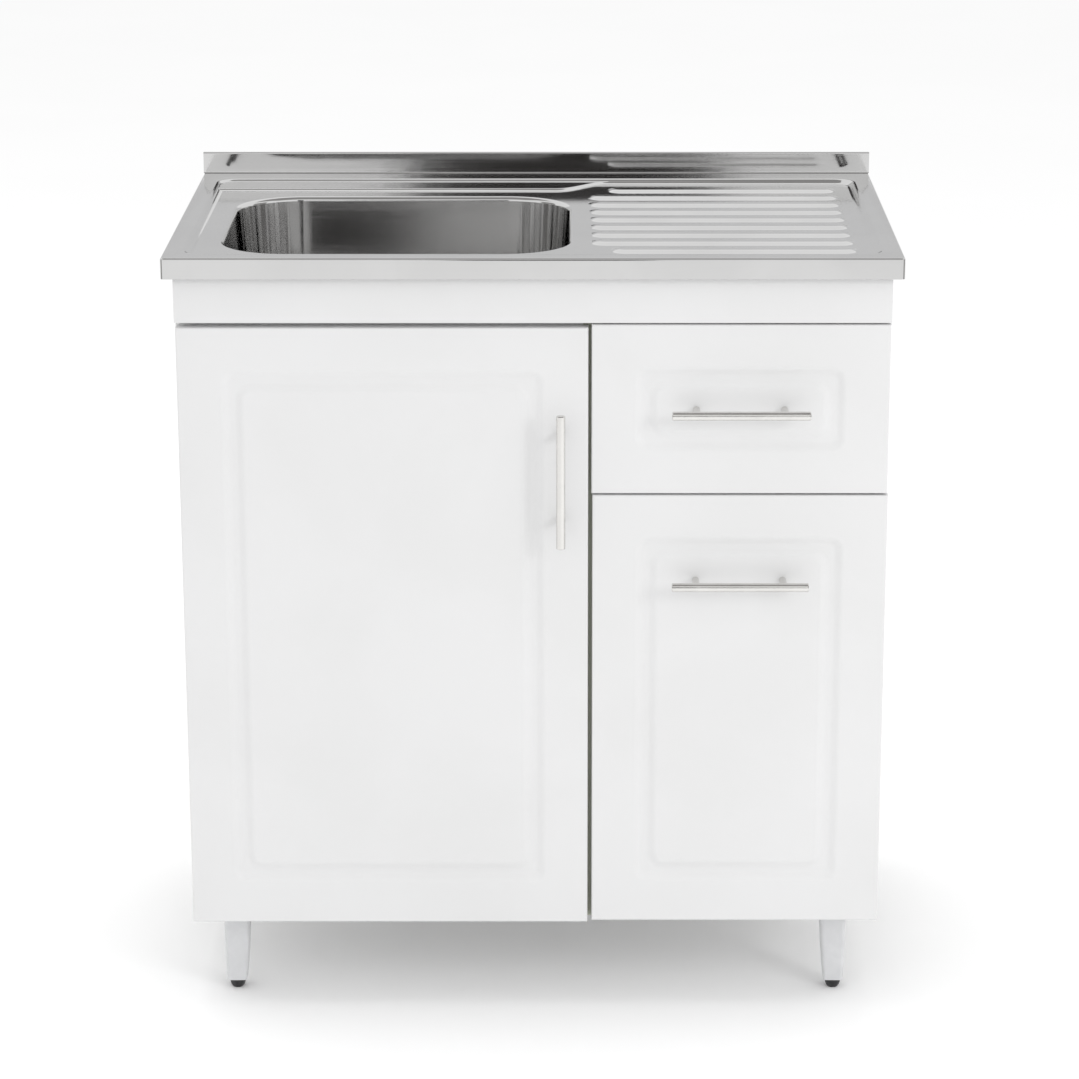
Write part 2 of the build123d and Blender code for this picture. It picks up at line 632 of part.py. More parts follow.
def back_rail():
    """Stretcher between the sides under the sink's back edge."""
    y = (BACK_RAIL_FRONT, BOARD_BACK)
    rail = block((-SIDE_IN, SIDE_IN), y, (BACK_RAIL_BOTTOM, RIM_UNDER))
    for start in wall_screw_places():
        rail -= rod(start, (0, 1, 0), WALL_HOLE_R, CARCASS_BACK - BACK_RAIL_FRONT)
    return drill_confirmats(rail)


def centre_partition():
    """Upright board between the door's bay and the drawers, notched round the rails."""
    x = (PARTITION_LEFT, PARTITION_RIGHT)
    board = block(x, (CARCASS_FRONT, BOARD_BACK), (BOTTOM_TOP, RAIL_TOP - FIT))
    board -= block(x, (CARCASS_FRONT, RAIL_BACK), (RAIL_BOTTOM, RIM_HEIGHT))
    return board - block(x, (BACK_RAIL_FRONT, BOARD_BACK), (BACK_RAIL_BOTTOM, RIM_HEIGHT))


def fascia():
    """Fixed front strip under the sink's apron, glued to the rail behind it."""
    board = block((-SIDE_OUT, SIDE_OUT), (FRONT_FACE, FRONT_BACK), (FASCIA_BOTTOM, RIM_UNDER))
    board += block((-SIDE_IN, SIDE_IN), (FRONT_BACK, CARCASS_FRONT), (FASCIA_BOTTOM, RAIL_TOP - FIT))
    return board - recess_relief()


def wall_screw_places():
    """Centres of the two holes for screwing the back rail to a wall."""
    z = BACK_RAIL_BOTTOM + WALL_HOLE_RISE
    return [(-WALL_HOLE_CENTRES / 2, BACK_RAIL_FRONT, z), (WALL_HOLE_CENTRES / 2, BACK_RAIL_FRONT, z)]


def back_panel():
    """Thin panel across the back with a cut-out for the pipes."""
    side = SIDE_OUT - BACK_PANEL_INSET
    z = (CARCASS_BOTTOM + BACK_PANEL_INSET, RIM_UNDER - BACK_PANEL_INSET)
    panel = block((-side, side), (BOARD_BACK, CARCASS_BACK), z)
    x = (-SIDE_OUT + CUTOUT_SIDE, -SIDE_OUT + CUTOUT_SIDE + CUTOUT_WIDTH)
    opening = block(x, (BOARD_BACK, CARCASS_BACK), (CUTOUT_TOP - CUTOUT_HEIGHT, CUTOUT_TOP))
    panel -= fillet(opening.edges().filter_by(Axis.Y), CUTOUT_CORNER)
    for start in wall_screw_places():
        panel -= rod(start, (0, 1, 0), WALL_HOLE_R, CARCASS_BACK - BACK_RAIL_FRONT)
    return panel


def sink_clips():
    """Angle clips that tie the sink's recess to the side panels."""
    made = []
    for side in (-1, 1):
        for y in CLIP_PLACES:
            width = (y - CLIP_WIDTH / 2, y + CLIP_WIDTH / 2)
            upright = sorted((side * SIDE_IN, side * (SIDE_IN - CLIP_STEEL)))
            level = sorted((side * SIDE_IN, side * (SIDE_IN - CLIP_REACH)))
            clip = block(upright, width, (RAIL_TOP - CLIP_HEIGHT, RAIL_TOP))
            clip += block(level, width, (RAIL_TOP - CLIP_STEEL, RAIL_TOP))
            for start, direction in clip_screws():
                clip -= screw_hole(start, direction, SMALL_SCREW_LENGTH)
            made.append(clip)
    return group(made)


# ---------------------------------------------------------------- fronts
def routed_front(x, z, handle_screws, left_round):
    """Front with rounded edges, a routed frame and holes for its handle's screws."""
    panel = block(x, (FRONT_FACE, FRONT_BACK), z)
    rear = panel.edges().filter_by(Axis.Z).group_by(Axis.Y)[-1].sort_by(Axis.X)[0]
    others = panel.faces().sort_by(Axis.Y)[0].edges()
    if left_round:
        panel = fillet(rear, left_round)
        others = panel.faces().sort_by(Axis.Y)[0].edges()
    panel = fillet(others, EDGE_ROUND)
    width = x[1] - x[0] - 2 * GROOVE_INSET
    height = z[1] - z[0] - 2 * GROOVE_INSET
    centre = ((x[0] + x[1]) / 2, (z[0] + z[1]) / 2)

    def outline(inset, depth, corner):
        origin = (centre[0], FRONT_FACE + depth, centre[1])
        plane = Plane(origin=origin, x_dir=(1, 0, 0), z_dir=(0, -1, 0))
        return plane * RectangleRounded(width - 2 * inset, height - 2 * inset, corner)

    inner = 2 * GROOVE_SLOPE + GROOVE_FLOOR
    groove = loft([
        outline(0, 0, GROOVE_CORNER),
        outline(GROOVE_SLOPE, GROOVE_DEPTH, GROOVE_CORNER - GROOVE_SLOPE),
    ], ruled=True)
    field = loft([
        outline(inner, 0, GROOVE_CORNER / 2),
        outline(inner - GROOVE_SLOPE, GROOVE_DEPTH, GROOVE_CORNER / 2 + GROOVE_SLOPE),
    ], ruled=True)
    panel -= groove - field
    for start in handle_screws:
        panel -= rod(start, (0, -1, 0), HANDLE_SCREW_R + SCREW_CLEARANCE, FRONT_THICK)
    return panel


def handle_ends(x, z, along):
    """The two points on the fronts' back face where a handle's screws enter."""
    half = HANDLE_CENTRES / 2
    step = (half, 0) if along == "X" else (0, half)
    return [(x - step[0], FRONT_BACK, z - step[1]), (x + step[0], FRONT_BACK, z + step[1])]


def bar_handle(x, z, along):
    """Round bar on two posts that stand on the front's face."""
    bar_y = FRONT_FACE - HANDLE_REACH + HANDLE_R
    half = HANDLE_LENGTH / 2
    start = (x - half, bar_y, z) if along == "X" else (x, bar_y, z - half)
    direction = (1, 0, 0) if along == "X" else (0, 0, 1)
    bar = rod(start, direction, HANDLE_R, HANDLE_LENGTH)
    bar = chamfer(bar.edges().filter_by(GeomType.CIRCLE), HANDLE_END)
    posts = []
    for end in handle_ends(x, z, along):
        foot = (end[0], FRONT_FACE, end[2])
        bar += rod(foot, (0, -1, 0), POST_R, FRONT_FACE - bar_y)
        posts.append(rod(foot, (0, -1, 0), HANDLE_SCREW_R + SCREW_CLEARANCE, HANDLE_SCREW_DEPTH))
    for hole in posts:
        bar -= hole
    return bar


def handle_screws(x, z, along):
    """Machine screws from inside the front into the handle's posts."""
    made = []
    for end in handle_ends(x, z, along):
        shank = rod(end, (0, -1, 0), HANDLE_SCREW_R, FRONT_THICK + HANDLE_SCREW_DEPTH - 1)
        made.append(shank + rod(end, (0, 1, 0), 2 * HANDLE_SCREW_R, SMALL_HEAD))
    return group(made)


# ---------------------------------------------------------------- door and its hinges
def cup_screw_places(z):
    """Where a hinge cup's two screws start, on its flange."""
    y = FRONT_BACK + CUP_FLANGE
    half = CUP_SCREW_CENTRES / 2
    return [(CUP_FLANGE_X, y, z - half), (CUP_FLANGE_X, y, z + half)]


def door_panel():
    """Door with its cup bores and the holes of the cups' screws."""
    panel = routed_front(DOOR_X, DOOR_Z, handle_ends(*DOOR_HANDLE), HINGE_EDGE_ROUND)
    for height in HINGE_HEIGHTS.values():
        mouth = (CUP_X, FRONT_BACK, height)
        panel -= rod(mouth, (0, -1, 0), CUP_R + GROOVE_PLAY, CUP_DEPTH + GROOVE_PLAY)
        for start in cup_screw_places(height):
            panel -= screw_hole(start, (0, -1, 0), SMALL_SCREW_LENGTH)
    return panel


def hinge_cup(z):
    """Pressed cup with its screw flange, bored for the pivot pin."""
    cup = rod((CUP_X, FRONT_BACK, z), (0, -1, 0), CUP_R, CUP_DEPTH)
    half = CUP_FLANGE_LENGTH / 2
    wing = block(
        (CUP_FLANGE_X - CUP_FLANGE_WIDTH / 2, CUP_FLANGE_X + CUP_FLANGE_WIDTH / 2),
        (FRONT_BACK, FRONT_BACK + CUP_FLANGE), (z - half, z + half),
    )
    wing = fillet(wing.edges().filter_by(Axis.Y), CUP_FLANGE_WIDTH / 4)
    cup += wing + rod((CUP_X, FRONT_BACK, z), (0, 1, 0), CUP_R, CUP_FLANGE)
    mouth = (CUP_X, FRONT_BACK + CUP_FLANGE, z)
    cup -= rod(mouth, (0, -1, 0), CUP_R - CUP_WALL, CUP_FLANGE + CUP_DEPTH - CUP_WALL)
    cup -= rod((PIVOT_X, PIVOT_Y, z - CUP_R), (0, 0, 1), PIN_R, 2 * CUP_R)
    for start in cup_screw_places(z):
        cup -= screw_hole(start, (0, -1, 0), SMALL_SCREW_LENGTH)
    return cup


def hinge_pins():
    """Pivot pins pressed into the walls of the cups."""
    pins = []
    for z in HINGE_HEIGHTS.values():
        pins.append(rod((PIVOT_X, PIVOT_Y, z - PIN_LENGTH / 2), (0, 0, 1), PIN_R, PIN_LENGTH))
    return group(pins)


def hinge_arm(z):
    """Arm fixed to the cabinet: a barrel round the pin, a level leaf and an upright leaf."""
    height = (z - ARM_WIDTH / 2, z + ARM_WIDTH / 2)
    barrel = rod((PIVOT_X, PIVOT_Y, height[0]), (0, 0, 1), BARREL_R, ARM_WIDTH)
    under = PIVOT_Y - BARREL_R
    arm = barrel + block((PIVOT_X, ARM_X + ARM_STEEL), (under, under + ARM_STEEL), height)
    arm += block((ARM_X, ARM_X + ARM_STEEL), (under, CARCASS_FRONT + ARM_END), height)
    return arm - rod((PIVOT_X, PIVOT_Y, height[0]), (0, 0, 1), PIN_R + PIN_CLEARANCE, ARM_WIDTH)


def hinge_plates():
    """Mounting plates between the side panel and the arms, with screw wings."""
    plates = []
    start = CARCASS_FRONT + PLATE_START
    for z in HINGE_HEIGHTS.values():
        x = (-SIDE_IN, ARM_X)
        plate = block(x, (start, start + PLATE_LENGTH), (z - ARM_WIDTH / 2, z + ARM_WIDTH / 2))
        middle = start + PLATE_LENGTH / 2
        wing = block(
            (-SIDE_IN, hinge_plate_screws()[0][0]),
            (middle - PLATE_WIDTH / 2, middle + PLATE_WIDTH / 2),
            (z - PLATE_WING / 2, z + PLATE_WING / 2),
        )
        plate += fillet(wing.edges().filter_by(Axis.X), PLATE_WIDTH / 4)
        for place in hinge_plate_screws():
            plate -= screw_hole(place, (-1, 0, 0), SMALL_SCREW_LENGTH)
        plates.append(plate)
    return group(plates)


# ---------------------------------------------------------------- drawers and runners
def drawer_front(x, z, handle):
    """Drawer front with the holes of its handle's screws."""
    return routed_front(x, z, handle_ends(*handle), 0)


def drawer_side(left, bottom, height):
    """Drawer side, grooved on its inner face for the base."""
    x = (BOX_LEFT, BOX_LEFT + DRAWER_SIDE) if left else (BOX_RIGHT - DRAWER_SIDE, BOX_RIGHT)
    board = block(x, (FRONT_BACK, BOX_BACK), (bottom, bottom + height))
    inner = BOX_LEFT + DRAWER_SIDE - BASE_GROOVE, BOX_RIGHT - DRAWER_SIDE + BASE_GROOVE
    low = bottom + BASE_RISE - GROOVE_PLAY
    high = bottom + BASE_RISE + DRAWER_BASE + GROOVE_PLAY
    return board - block(inner, (FRONT_BACK, BOX_BACK), (low, high))


def drawer_back(bottom, height):
    """Drawer back, standing on the base."""
    x = (BOX_LEFT + DRAWER_SIDE, BOX_RIGHT - DRAWER_SIDE)
    low = bottom + BASE_RISE + DRAWER_BASE
    return block(x, (BOX_BACK - DRAWER_SIDE, BOX_BACK), (low, bottom + height))


def drawer_base(bottom):
    """Thin base held in the sides' grooves."""
    reach = DRAWER_SIDE - BASE_GROOVE + GROOVE_PLAY
    x = (BOX_LEFT + reach, BOX_RIGHT - reach)
    low = bottom + BASE_RISE
    return block(x, (FRONT_BACK, BOX_BACK), (low, low + DRAWER_BASE))


def across(side, near, far):
    """Place two distances from the cabinet's wall on the X axis, for the bay's left or right."""
    if side < 0:
        return (PARTITION_RIGHT + near, PARTITION_RIGHT + far)
    return (SIDE_IN - far, SIDE_IN - near)


def axle(side, near, far, y, z, radius):
    """Axle along X between two distances from the cabinet's wall."""
    x = across(side, near, far)
    return rod((x[0], y, z), (1, 0, 0), radius, x[1] - x[0])


def cabinet_runners(bottom):
    """Pair of channels screwed to the cabinet, each with the axle of its front roller."""
    made = []
    end = CARCASS_FRONT + RUNNER_LENGTH
    behind_roller = FRONT_ROLLER_Y + ROLLER_R + 3 * STRIP_CLEARANCE
    for side in (-1, 1):
        web = across(side, 0, RUNNER_STEEL)
        flange = across(side, 0, CHANNEL_DEPTH)
        low = bottom + CHANNEL_FLOOR - RUNNER_STEEL
        channel = block(web, (CARCASS_FRONT, end), (low, bottom + CHANNEL_TOP + CABINET_WEB_RISE))
        channel += block(flange, (CARCASS_FRONT, end), (low, bottom + CHANNEL_FLOOR))
        channel += block(
            flange, (behind_roller, end), (bottom + CHANNEL_INNER_TOP, bottom + CHANNEL_TOP)
        )
        z = bottom + FRONT_ROLLER_Z
        made.append(channel + axle(side, 0, CHANNEL_DEPTH, FRONT_ROLLER_Y, z, AXLE_R))
    return group(made)


def drawer_runners(bottom):
    """Pair of angles under the drawer's sides, each with the axle of its rear roller."""
    made = []
    web_out = RUNNER_GAP - RUNNER_STEEL
    for side in (-1, 1):
        strip = block(
            across(side, STRIP_REACH, RUNNER_GAP + STRIP_UNDER),
            (FRONT_BACK, BOX_BACK), (bottom + STRIP_UNDERSIDE, bottom),
        )
        web = block(
            across(side, web_out, RUNNER_GAP), (FRONT_BACK, BOX_BACK), (bottom, bottom + WEB_HEIGHT)
        )
        tab = block(
            across(side, TAB_OFFSET, TAB_OFFSET + RUNNER_STEEL),
            (REAR_ROLLER_Y - ROLLER_R, REAR_ROLLER_Y + ROLLER_R),
            (bottom + REAR_ROLLER_Z - 2 * AXLE_R, bottom),
        )
        z = bottom + REAR_ROLLER_Z
        pin = axle(side, STRIP_REACH, TAB_OFFSET, REAR_ROLLER_Y, z, AXLE_R)
        made.append(strip + web + tab + pin)
    return group(made)


def rollers(y, z):
    """Pair of nylon rollers on one line across the drawer's bay."""
    near = STRIP_REACH + ROLLER_SIDE_PLAY
    made = []
    for side in (-1, 1):
        wheel = axle(side, near, near + ROLLER_WIDTH, y, z, ROLLER_R)
        wheel = chamfer(wheel.edges().filter_by(GeomType.CIRCLE), ROLLER_BEVEL)
        made.append(wheel - axle(side, near, near + ROLLER_WIDTH, y, z, AXLE_R + AXLE_CLEARANCE))
    return group(made)


# ---------------------------------------------------------------- legs and feet
def leg_screw_places(x, y):
    """Where a leg's four screws start, on the underside of its plate."""
    z = CARCASS_BOTTOM - LEG_PLATE_THICK
    spread = (-LEG_SCREW_SPREAD, LEG_SCREW_SPREAD)
    return [(x + dx, y + dy, z) for dx in spread for dy in spread]


def foot_centre(x):
    """The foot stands a little outwards of the leg's plate."""
    return x + (LEG_SPLAY if x > 0 else -LEG_SPLAY)


def leg(x, y):
    """Tapered moulded leg with its mounting plate and the bore for the foot's stud."""
    plate_under = CARCASS_BOTTOM - LEG_PLATE_THICK
    half = LEG_PLATE / 2
    plate = block((x - half, x + half), (y - half, y + half), (plate_under, CARCASS_BOTTOM))
    plate = fillet(plate.edges().filter_by(Axis.Z), LEG_CORNER)
    top = Pos(x, y, plate_under) * RectangleRounded(LEG_TOP, LEG_TOP, LEG_CORNER)
    low = Pos(foot_centre(x), y, FOOT_HEIGHT) * RectangleRounded(LEG_FOOT, LEG_FOOT, LEG_CORNER)
    made = plate + loft([low, top], ruled=True)
    for place in leg_screw_places(x, y):
        made -= screw_hole(place, (0, 0, 1), LEG_SCREW_LENGTH)
    bore = rod((foot_centre(x), y, FOOT_HEIGHT), (0, 0, 1), STUD_R + STUD_CLEARANCE, STUD_LENGTH + 1)
    return made - bore


def foot(x, y):
    """Domed adjuster foot with its stud."""
    band = FOOT_HEIGHT - FOOT_BAND
    dome = make_face(
        Line((0, 0, 0), (FOOT_FLAT_R, 0, 0))
        + ThreePointArc((FOOT_FLAT_R, 0, 0), (FOOT_BULGE_R, 0, band / 2), (FOOT_R, 0, band))
        + Polyline((FOOT_R, 0, band), (FOOT_R, 0, FOOT_HEIGHT), (0, 0, FOOT_HEIGHT), (0, 0, 0))
    )
    made = Pos(foot_centre(x), y, 0) * revolve(dome, Axis.Z)
    return made + rod((foot_centre(x), y, FOOT_HEIGHT), (0, 0, 1), STUD_R, STUD_LENGTH)


def bumpers():
    """Soft pads on the carcass edges that the closed fronts rest on."""
    low = (CARCASS_BOTTOM + BOTTOM_TOP) / 2
    high = (RAIL_BOTTOM + DOOR_Z[1]) / 2
    door = DOOR_X[1] - BUMPER_INSET
    drawer = (UPPER_X[0] + BUMPER_INSET, UPPER_X[1] - 2 * BUMPER_INSET)
    places = [(door, low), (door, high)]
    places += [(x, z) for x in drawer for z in (low, high)]
    return group([rod((x, CARCASS_FRONT, z), (0, -1, 0), BUMPER_R, FRONT_GAP) for x, z in places])


# ---------------------------------------------------------------- assembly
DOOR_HANDLE = (DOOR_X[1] - DOOR_HANDLE_INSET, DOOR_Z[1] - DOOR_HANDLE_DROP, "Z")
UPPER_HANDLE = (sum(UPPER_X) / 2, sum(UPPER_Z) / 2, "X")
LOWER_HANDLE = (sum(LOWER_X) / 2, LOWER_Z[1] - LOWER_HANDLE_DROP, "X")

DRAWERS = {
    "upper": (UPPER_X, UPPER_Z, UPPER_HANDLE, UPPER_BOX_BOTTOM, UPPER_BOX_HEIGHT),
    "lower": (LOWER_X, LOWER_Z, LOWER_HANDLE, LOWER_BOX_BOTTOM, LOWER_BOX_HEIGHT),
}


def cabinet_parts():
    """Sink, strainer, carcass, fixings and bumpers."""
    legs = LEG_PLACES.values()
    return {
        "sink_top": sink_top(),
        "strainer_body": strainer_body(),
        "strainer_gasket": strainer_gasket(),
        "strainer_nut": strainer_nut(),
        "strainer_basket": strainer_basket(),
        "basket_knob": basket_knob(),
        "left_side_panel": side_panel(-1),
        "right_side_panel": side_panel(1),
        "bottom_panel": bottom_panel(),
        "centre_partition": centre_partition(),
        "front_rail": front_rail(),
        "back_rail": back_rail(),
        "fascia": fascia(),
        "back_panel": back_panel(),
        "sink_clips": sink_clips(),
        "bumpers": bumpers(),
        "carcass_screws": group([confirmat(*line, 0) for side in (-1, 1) for line in confirmats(side)]),
        "clip_screws": group([panhead(*line, SMALL_SCREW_LENGTH) for line in clip_screws()]),
        "leg_screws": group([
            panhead(place, (0, 0, 1), LEG_SCREW_LENGTH) for x, y in legs for place in leg_screw_places(x, y)
        ]),
    }


def leg_parts():
    """Four legs and four feet."""
    made = {}
    for name, (x, y) in LEG_PLACES.items():
        made[f"{name}_leg"] = leg(x, y)
        made[f"{name}_foot"] = foot(x, y)
    return made


def door_parts():
    """Door, handle and hinges."""
    made = {
        "door_panel": door_panel(),
        "door_handle": bar_handle(*DOOR_HANDLE),
        "door_handle_screws": handle_screws(*DOOR_HANDLE),
        "hinge_pins": hinge_pins(),
        "hinge_plates": hinge_plates(),
        "hinge_plate_screws": group([
            panhead(start, (-1, 0, 0), SMALL_SCREW_LENGTH) for start in hinge_plate_screws()
        ]),
        "hinge_cup_screws": group([
            panhead(start, (0, -1, 0), SMALL_SCREW_LENGTH)
            for z in HINGE_HEIGHTS.values() for start in cup_screw_places(z)
        ]),
    }
    for name, z in HINGE_HEIGHTS.items():
        made[f"{name}_hinge_cup"] = hinge_cup(z)
        made[f"{name}_hinge_arm"] = hinge_arm(z)
    return made


def drawer_parts(name, x, z, handle, bottom, height):
    """One drawer with its box, handle, runners and rollers."""
    return {
        f"{name}_drawer_front": drawer_front(x, z, handle),
        f"{name}_drawer_handle": bar_handle(*handle),
        f"{name}_drawer_handle_screws": handle_screws(*handle),
        f"{name}_drawer_left_side": drawer_side(True, bottom, height),
        f"{name}_drawer_right_side": drawer_side(False, bottom, height),
        f"{name}_drawer_back": drawer_back(bottom, height),
        f"{name}_drawer_base": drawer_base(bottom),
        f"{name}_drawer_runners": drawer_runners(bottom),
        f"{name}_cabinet_runners": cabinet_runners(bottom),
        f"{name}_front_rollers": rollers(FRONT_ROLLER_Y, bottom + FRONT_ROLLER_Z),
        f"{name}_rear_rollers": rollers(REAR_ROLLER_Y, bottom + REAR_ROLLER_Z),
    }


def main():
    """Build every sub-part and write one STEP file for each."""
    parts = {**cabinet_parts(), **leg_parts(), **door_parts()}
    for name, sizes in DRAWERS.items():
        parts.update(drawer_parts(name, *sizes))
    os.makedirs("parts", exist_ok=True)
    for name, shape in parts.items():
        shape.label = name
        export_step(shape, f"parts/{name}.step")
    print(len(parts), "sub-parts written")


main()
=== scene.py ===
"""Looks of the kitchen sink unit: the pressed steel top, the routed fronts, the moulded legs and
every finish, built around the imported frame.

Metres, in the frame's own space: X to the right, -Y to the front, +Z up, the floor at 0.
"""
import json
import math

import bmesh
import bpy
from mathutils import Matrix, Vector


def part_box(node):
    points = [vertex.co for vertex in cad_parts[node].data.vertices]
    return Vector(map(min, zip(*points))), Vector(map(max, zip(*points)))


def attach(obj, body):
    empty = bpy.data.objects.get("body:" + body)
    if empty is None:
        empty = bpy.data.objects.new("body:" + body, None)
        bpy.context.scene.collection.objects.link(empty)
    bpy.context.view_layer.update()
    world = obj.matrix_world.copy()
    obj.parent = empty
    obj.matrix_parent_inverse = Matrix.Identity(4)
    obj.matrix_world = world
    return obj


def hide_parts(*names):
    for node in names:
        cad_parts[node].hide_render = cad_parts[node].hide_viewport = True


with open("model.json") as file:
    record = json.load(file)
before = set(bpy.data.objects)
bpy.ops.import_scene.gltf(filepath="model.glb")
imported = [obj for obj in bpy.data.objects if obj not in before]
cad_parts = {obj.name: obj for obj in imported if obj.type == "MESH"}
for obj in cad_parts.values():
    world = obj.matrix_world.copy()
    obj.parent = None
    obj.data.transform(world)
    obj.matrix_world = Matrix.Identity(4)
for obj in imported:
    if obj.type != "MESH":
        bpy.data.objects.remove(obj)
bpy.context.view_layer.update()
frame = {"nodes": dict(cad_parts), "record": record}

MM = 0.001

# ---------------------------------------------------------------- sizes read from the frame
SINK_LOW, SINK_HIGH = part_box("sink_top")
STRAINER_LOW, STRAINER_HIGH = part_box("strainer_body")
CUP_BOXES = [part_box("upper_hinge_cup"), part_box("lower_hinge_cup")]
CUP_SETBACK = 21.5 * MM   # hinge cups' middles, from the door's hinged edge
CUP_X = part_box("door_panel")[0].x + CUP_SETBACK

# ---------------------------------------------------------------- sizes of the pressed sheet
SHEET = 0.8 * MM
UPSTAND_HEIGHT = 25 * MM
RIM = SINK_HIGH.z - UPSTAND_HEIGHT
RIM_EDGE = 2.5 * MM
APRON = 23 * MM
APRON_CORNER = 5 * MM
HEM = 6 * MM
UPSTAND_DEPTH = 6 * MM
UPSTAND_FRONT = SINK_HIGH.y - UPSTAND_DEPTH
UPSTAND_RETURN = 12 * MM
UPSTAND_ROUND = 1.6 * MM
FOLD = 1.5 * MM
RIM_FLAT = 19.5 * MM
RECESS_BACK = 40 * MM
RECESS_CORNER = 26 * MM
RECESS_SLOPE = 11 * MM
RECESS_DEPTH = 5 * MM
RECESS_EASE = 0.3
LEDGE_DEPTH = 56 * MM
LEDGE_BEND = (24 * MM, 88 * MM)
LEDGE_SHARE = 0.5         # how far down the slope the ledge lies
BOWL_X = (-343 * MM, 40 * MM)
BOWL_Y = (-188.5 * MM, 129.5 * MM)
BOWL_CORNER = 72 * MM
BOWL_LIP = 5 * MM
BOWL_DRAFT = 4
BOWL_DEPTH = 150 * MM
BOWL_FLOOR_ROUND = 32 * MM
DRAIN_RING = 60 * MM
DRAIN_HOLE = 45 * MM
RIB_X = (60 * MM, 356 * MM)
RIB_SETBACK = 22 * MM
RIB_FIRST = 65 * MM
RIB_PITCH = 42.9 * MM
RIB_WIDTH = 37 * MM
RIB_HEIGHT = 2.4 * MM
RIB_SLOPE = 13 * MM
RIB_EASE = 0.45
RIB_END_FLAT = 1 * MM
RIBS = 9
RECESS_FLOOR = RIM - RECESS_DEPTH
SUPPORT = 0.4 * MM        # narrow flat ring that keeps a flat field's shading flat

# ---------------------------------------------------------------- sizes of the fronts
EDGE_ROUND = 2 * MM
HINGE_EDGE_ROUND = 3 * MM
FRAME_INSET = 46 * MM
FRAME_SLOPE = 12 * MM
FRAME_FLOOR = 3 * MM
FRAME_DEPTH = 3 * MM
FRAME_CORNER = 16 * MM
FIELD_CORNER = 20 * MM
FRAME_EASE = 0.4
CUP_BORE = 17.6 * MM
CUP_BORE_DEPTH = 12.1 * MM

# ---------------------------------------------------------------- sizes of the legs
LEG_TOP = 30 * MM
LEG_FOOT = 22.5 * MM
LEG_SPLAY = 1.5 * MM
LEG_CORNER = 5 * MM
LEG_PLATE = 52 * MM
LEG_PLATE_THICK = 4 * MM
LEG_BULGE = 1.2 * MM      # how far the inner side swells out of a straight taper

# ---------------------------------------------------------------- how finely forms are stepped
FOLD_STEPS = 5
ROUND_STEPS = 5
EDGE_STEPS = 6
LIP_STEPS = 8
LEG_STEPS = 10
FRAME_STEPS = 10
RIB_STEPS = 12
CORNER_STEPS = 12
FLOOR_STEPS = 14
BOWL_CORNER_STEPS = 20
LEDGE_CUTS = 23
DRAIN_SIDES = 72
BORE_SIDES = 64

# ---------------------------------------------------------------- measures of the modelling itself
SAME = 0.01 * MM          # lengths nearer than this are the same
MERGE = 0.002 * MM
BEYOND = 100 * MM         # how far a form runs past the place where it is cut
FACING = 0.9              # least share of a normal that counts as facing one way
RIM_FIELD_AREA = 0.1      # square metres; every other level face of the rim is smaller
CREASE = 35               # degrees; sharper corners stay crisp
LEG_CREASE = 30


# ---------------------------------------------------------------- modelling by hand, in code
def new_selection(piece=None):
    """Leave object mode's selection empty, or with only one piece in it."""
    if bpy.context.mode != "OBJECT":
        bpy.ops.object.mode_set(mode="OBJECT")
    bpy.ops.object.select_all(action="DESELECT")
    if piece:
        piece.select_set(True)
        bpy.context.view_layer.objects.active = piece


def edit(piece):
    """Open a piece in edit mode with nothing selected."""
    new_selection(piece)
    bpy.ops.object.mode_set(mode="EDIT")
    bpy.ops.mesh.select_all(action="DESELECT")


def leave():
    """Back to object mode."""
    bpy.ops.object.mode_set(mode="OBJECT")


def pick(piece, kind, test):
    """In edit mode, select only the faces, edges or corners that pass a test."""
    bpy.ops.mesh.select_all(action="DESELECT")
    bpy.ops.mesh.select_mode(type=kind)
    mesh = bmesh.from_edit_mesh(piece.data)
    mesh.normal_update()
    items = {"FACE": mesh.faces, "EDGE": mesh.edges, "VERT": mesh.verts}[kind]
    for item in [item for item in items if test(item)]:
        item.select_set(True)
    mesh.select_flush_mode()
    bmesh.update_edit_mesh(piece.data)


def middle(edge):
    """Middle of an edge."""
    return (edge.verts[0].co + edge.verts[1].co) / 2


def at(value, goal):
    """True where a length is the wanted one."""
    return abs(value - goal) < SAME


def level(z):
    """Test for faces that lie flat at a height."""
    return lambda face: all(at(corner.co.z, z) for corner in face.verts)


def open_edge_at(z):
    """Test for open edges that lie at a height."""
    return lambda edge: edge.is_boundary and all(at(corner.co.z, z) for corner in edge.verts)


def move(x=0.0, y=0.0, z=0.0):
    """Move what is selected."""
    bpy.ops.transform.translate(value=(x, y, z))


def pull(x=0.0, y=0.0, z=0.0):
    """Extrude what is selected and move it."""
    bpy.ops.mesh.extrude_region_move(TRANSFORM_OT_translate={"value": (x, y, z)})


def draw(steps):
    """Press or raise the selected face in steps of (inwards, upwards)."""
    for inwards, upwards in steps:
        bpy.ops.mesh.inset(thickness=inwards, depth=upwards, use_even_offset=True)


def bend(radius, start, end, count):
    """Steps (inwards, upwards) round a bend between two slopes, in degrees above level."""
    turn = (end - start) / count
    chord = 2 * radius * math.sin(math.radians(abs(turn)) / 2)
    steps = []
    for index in range(count):
        angle = math.radians(start + turn * (index + 0.5))
        steps.append((chord * math.cos(angle), chord * math.sin(angle)))
    return steps


def eased(share, ease):
    """Height, from 0 to 1, on a slope with a straight middle that rounds out at both ends."""
    peak = 1 / (1 - ease)
    if share < ease:
        return peak * share * share / (2 * ease)
    if share < 1 - ease:
        return peak * (share - ease / 2)
    return 1 - peak * (1 - share) ** 2 / (2 * ease)


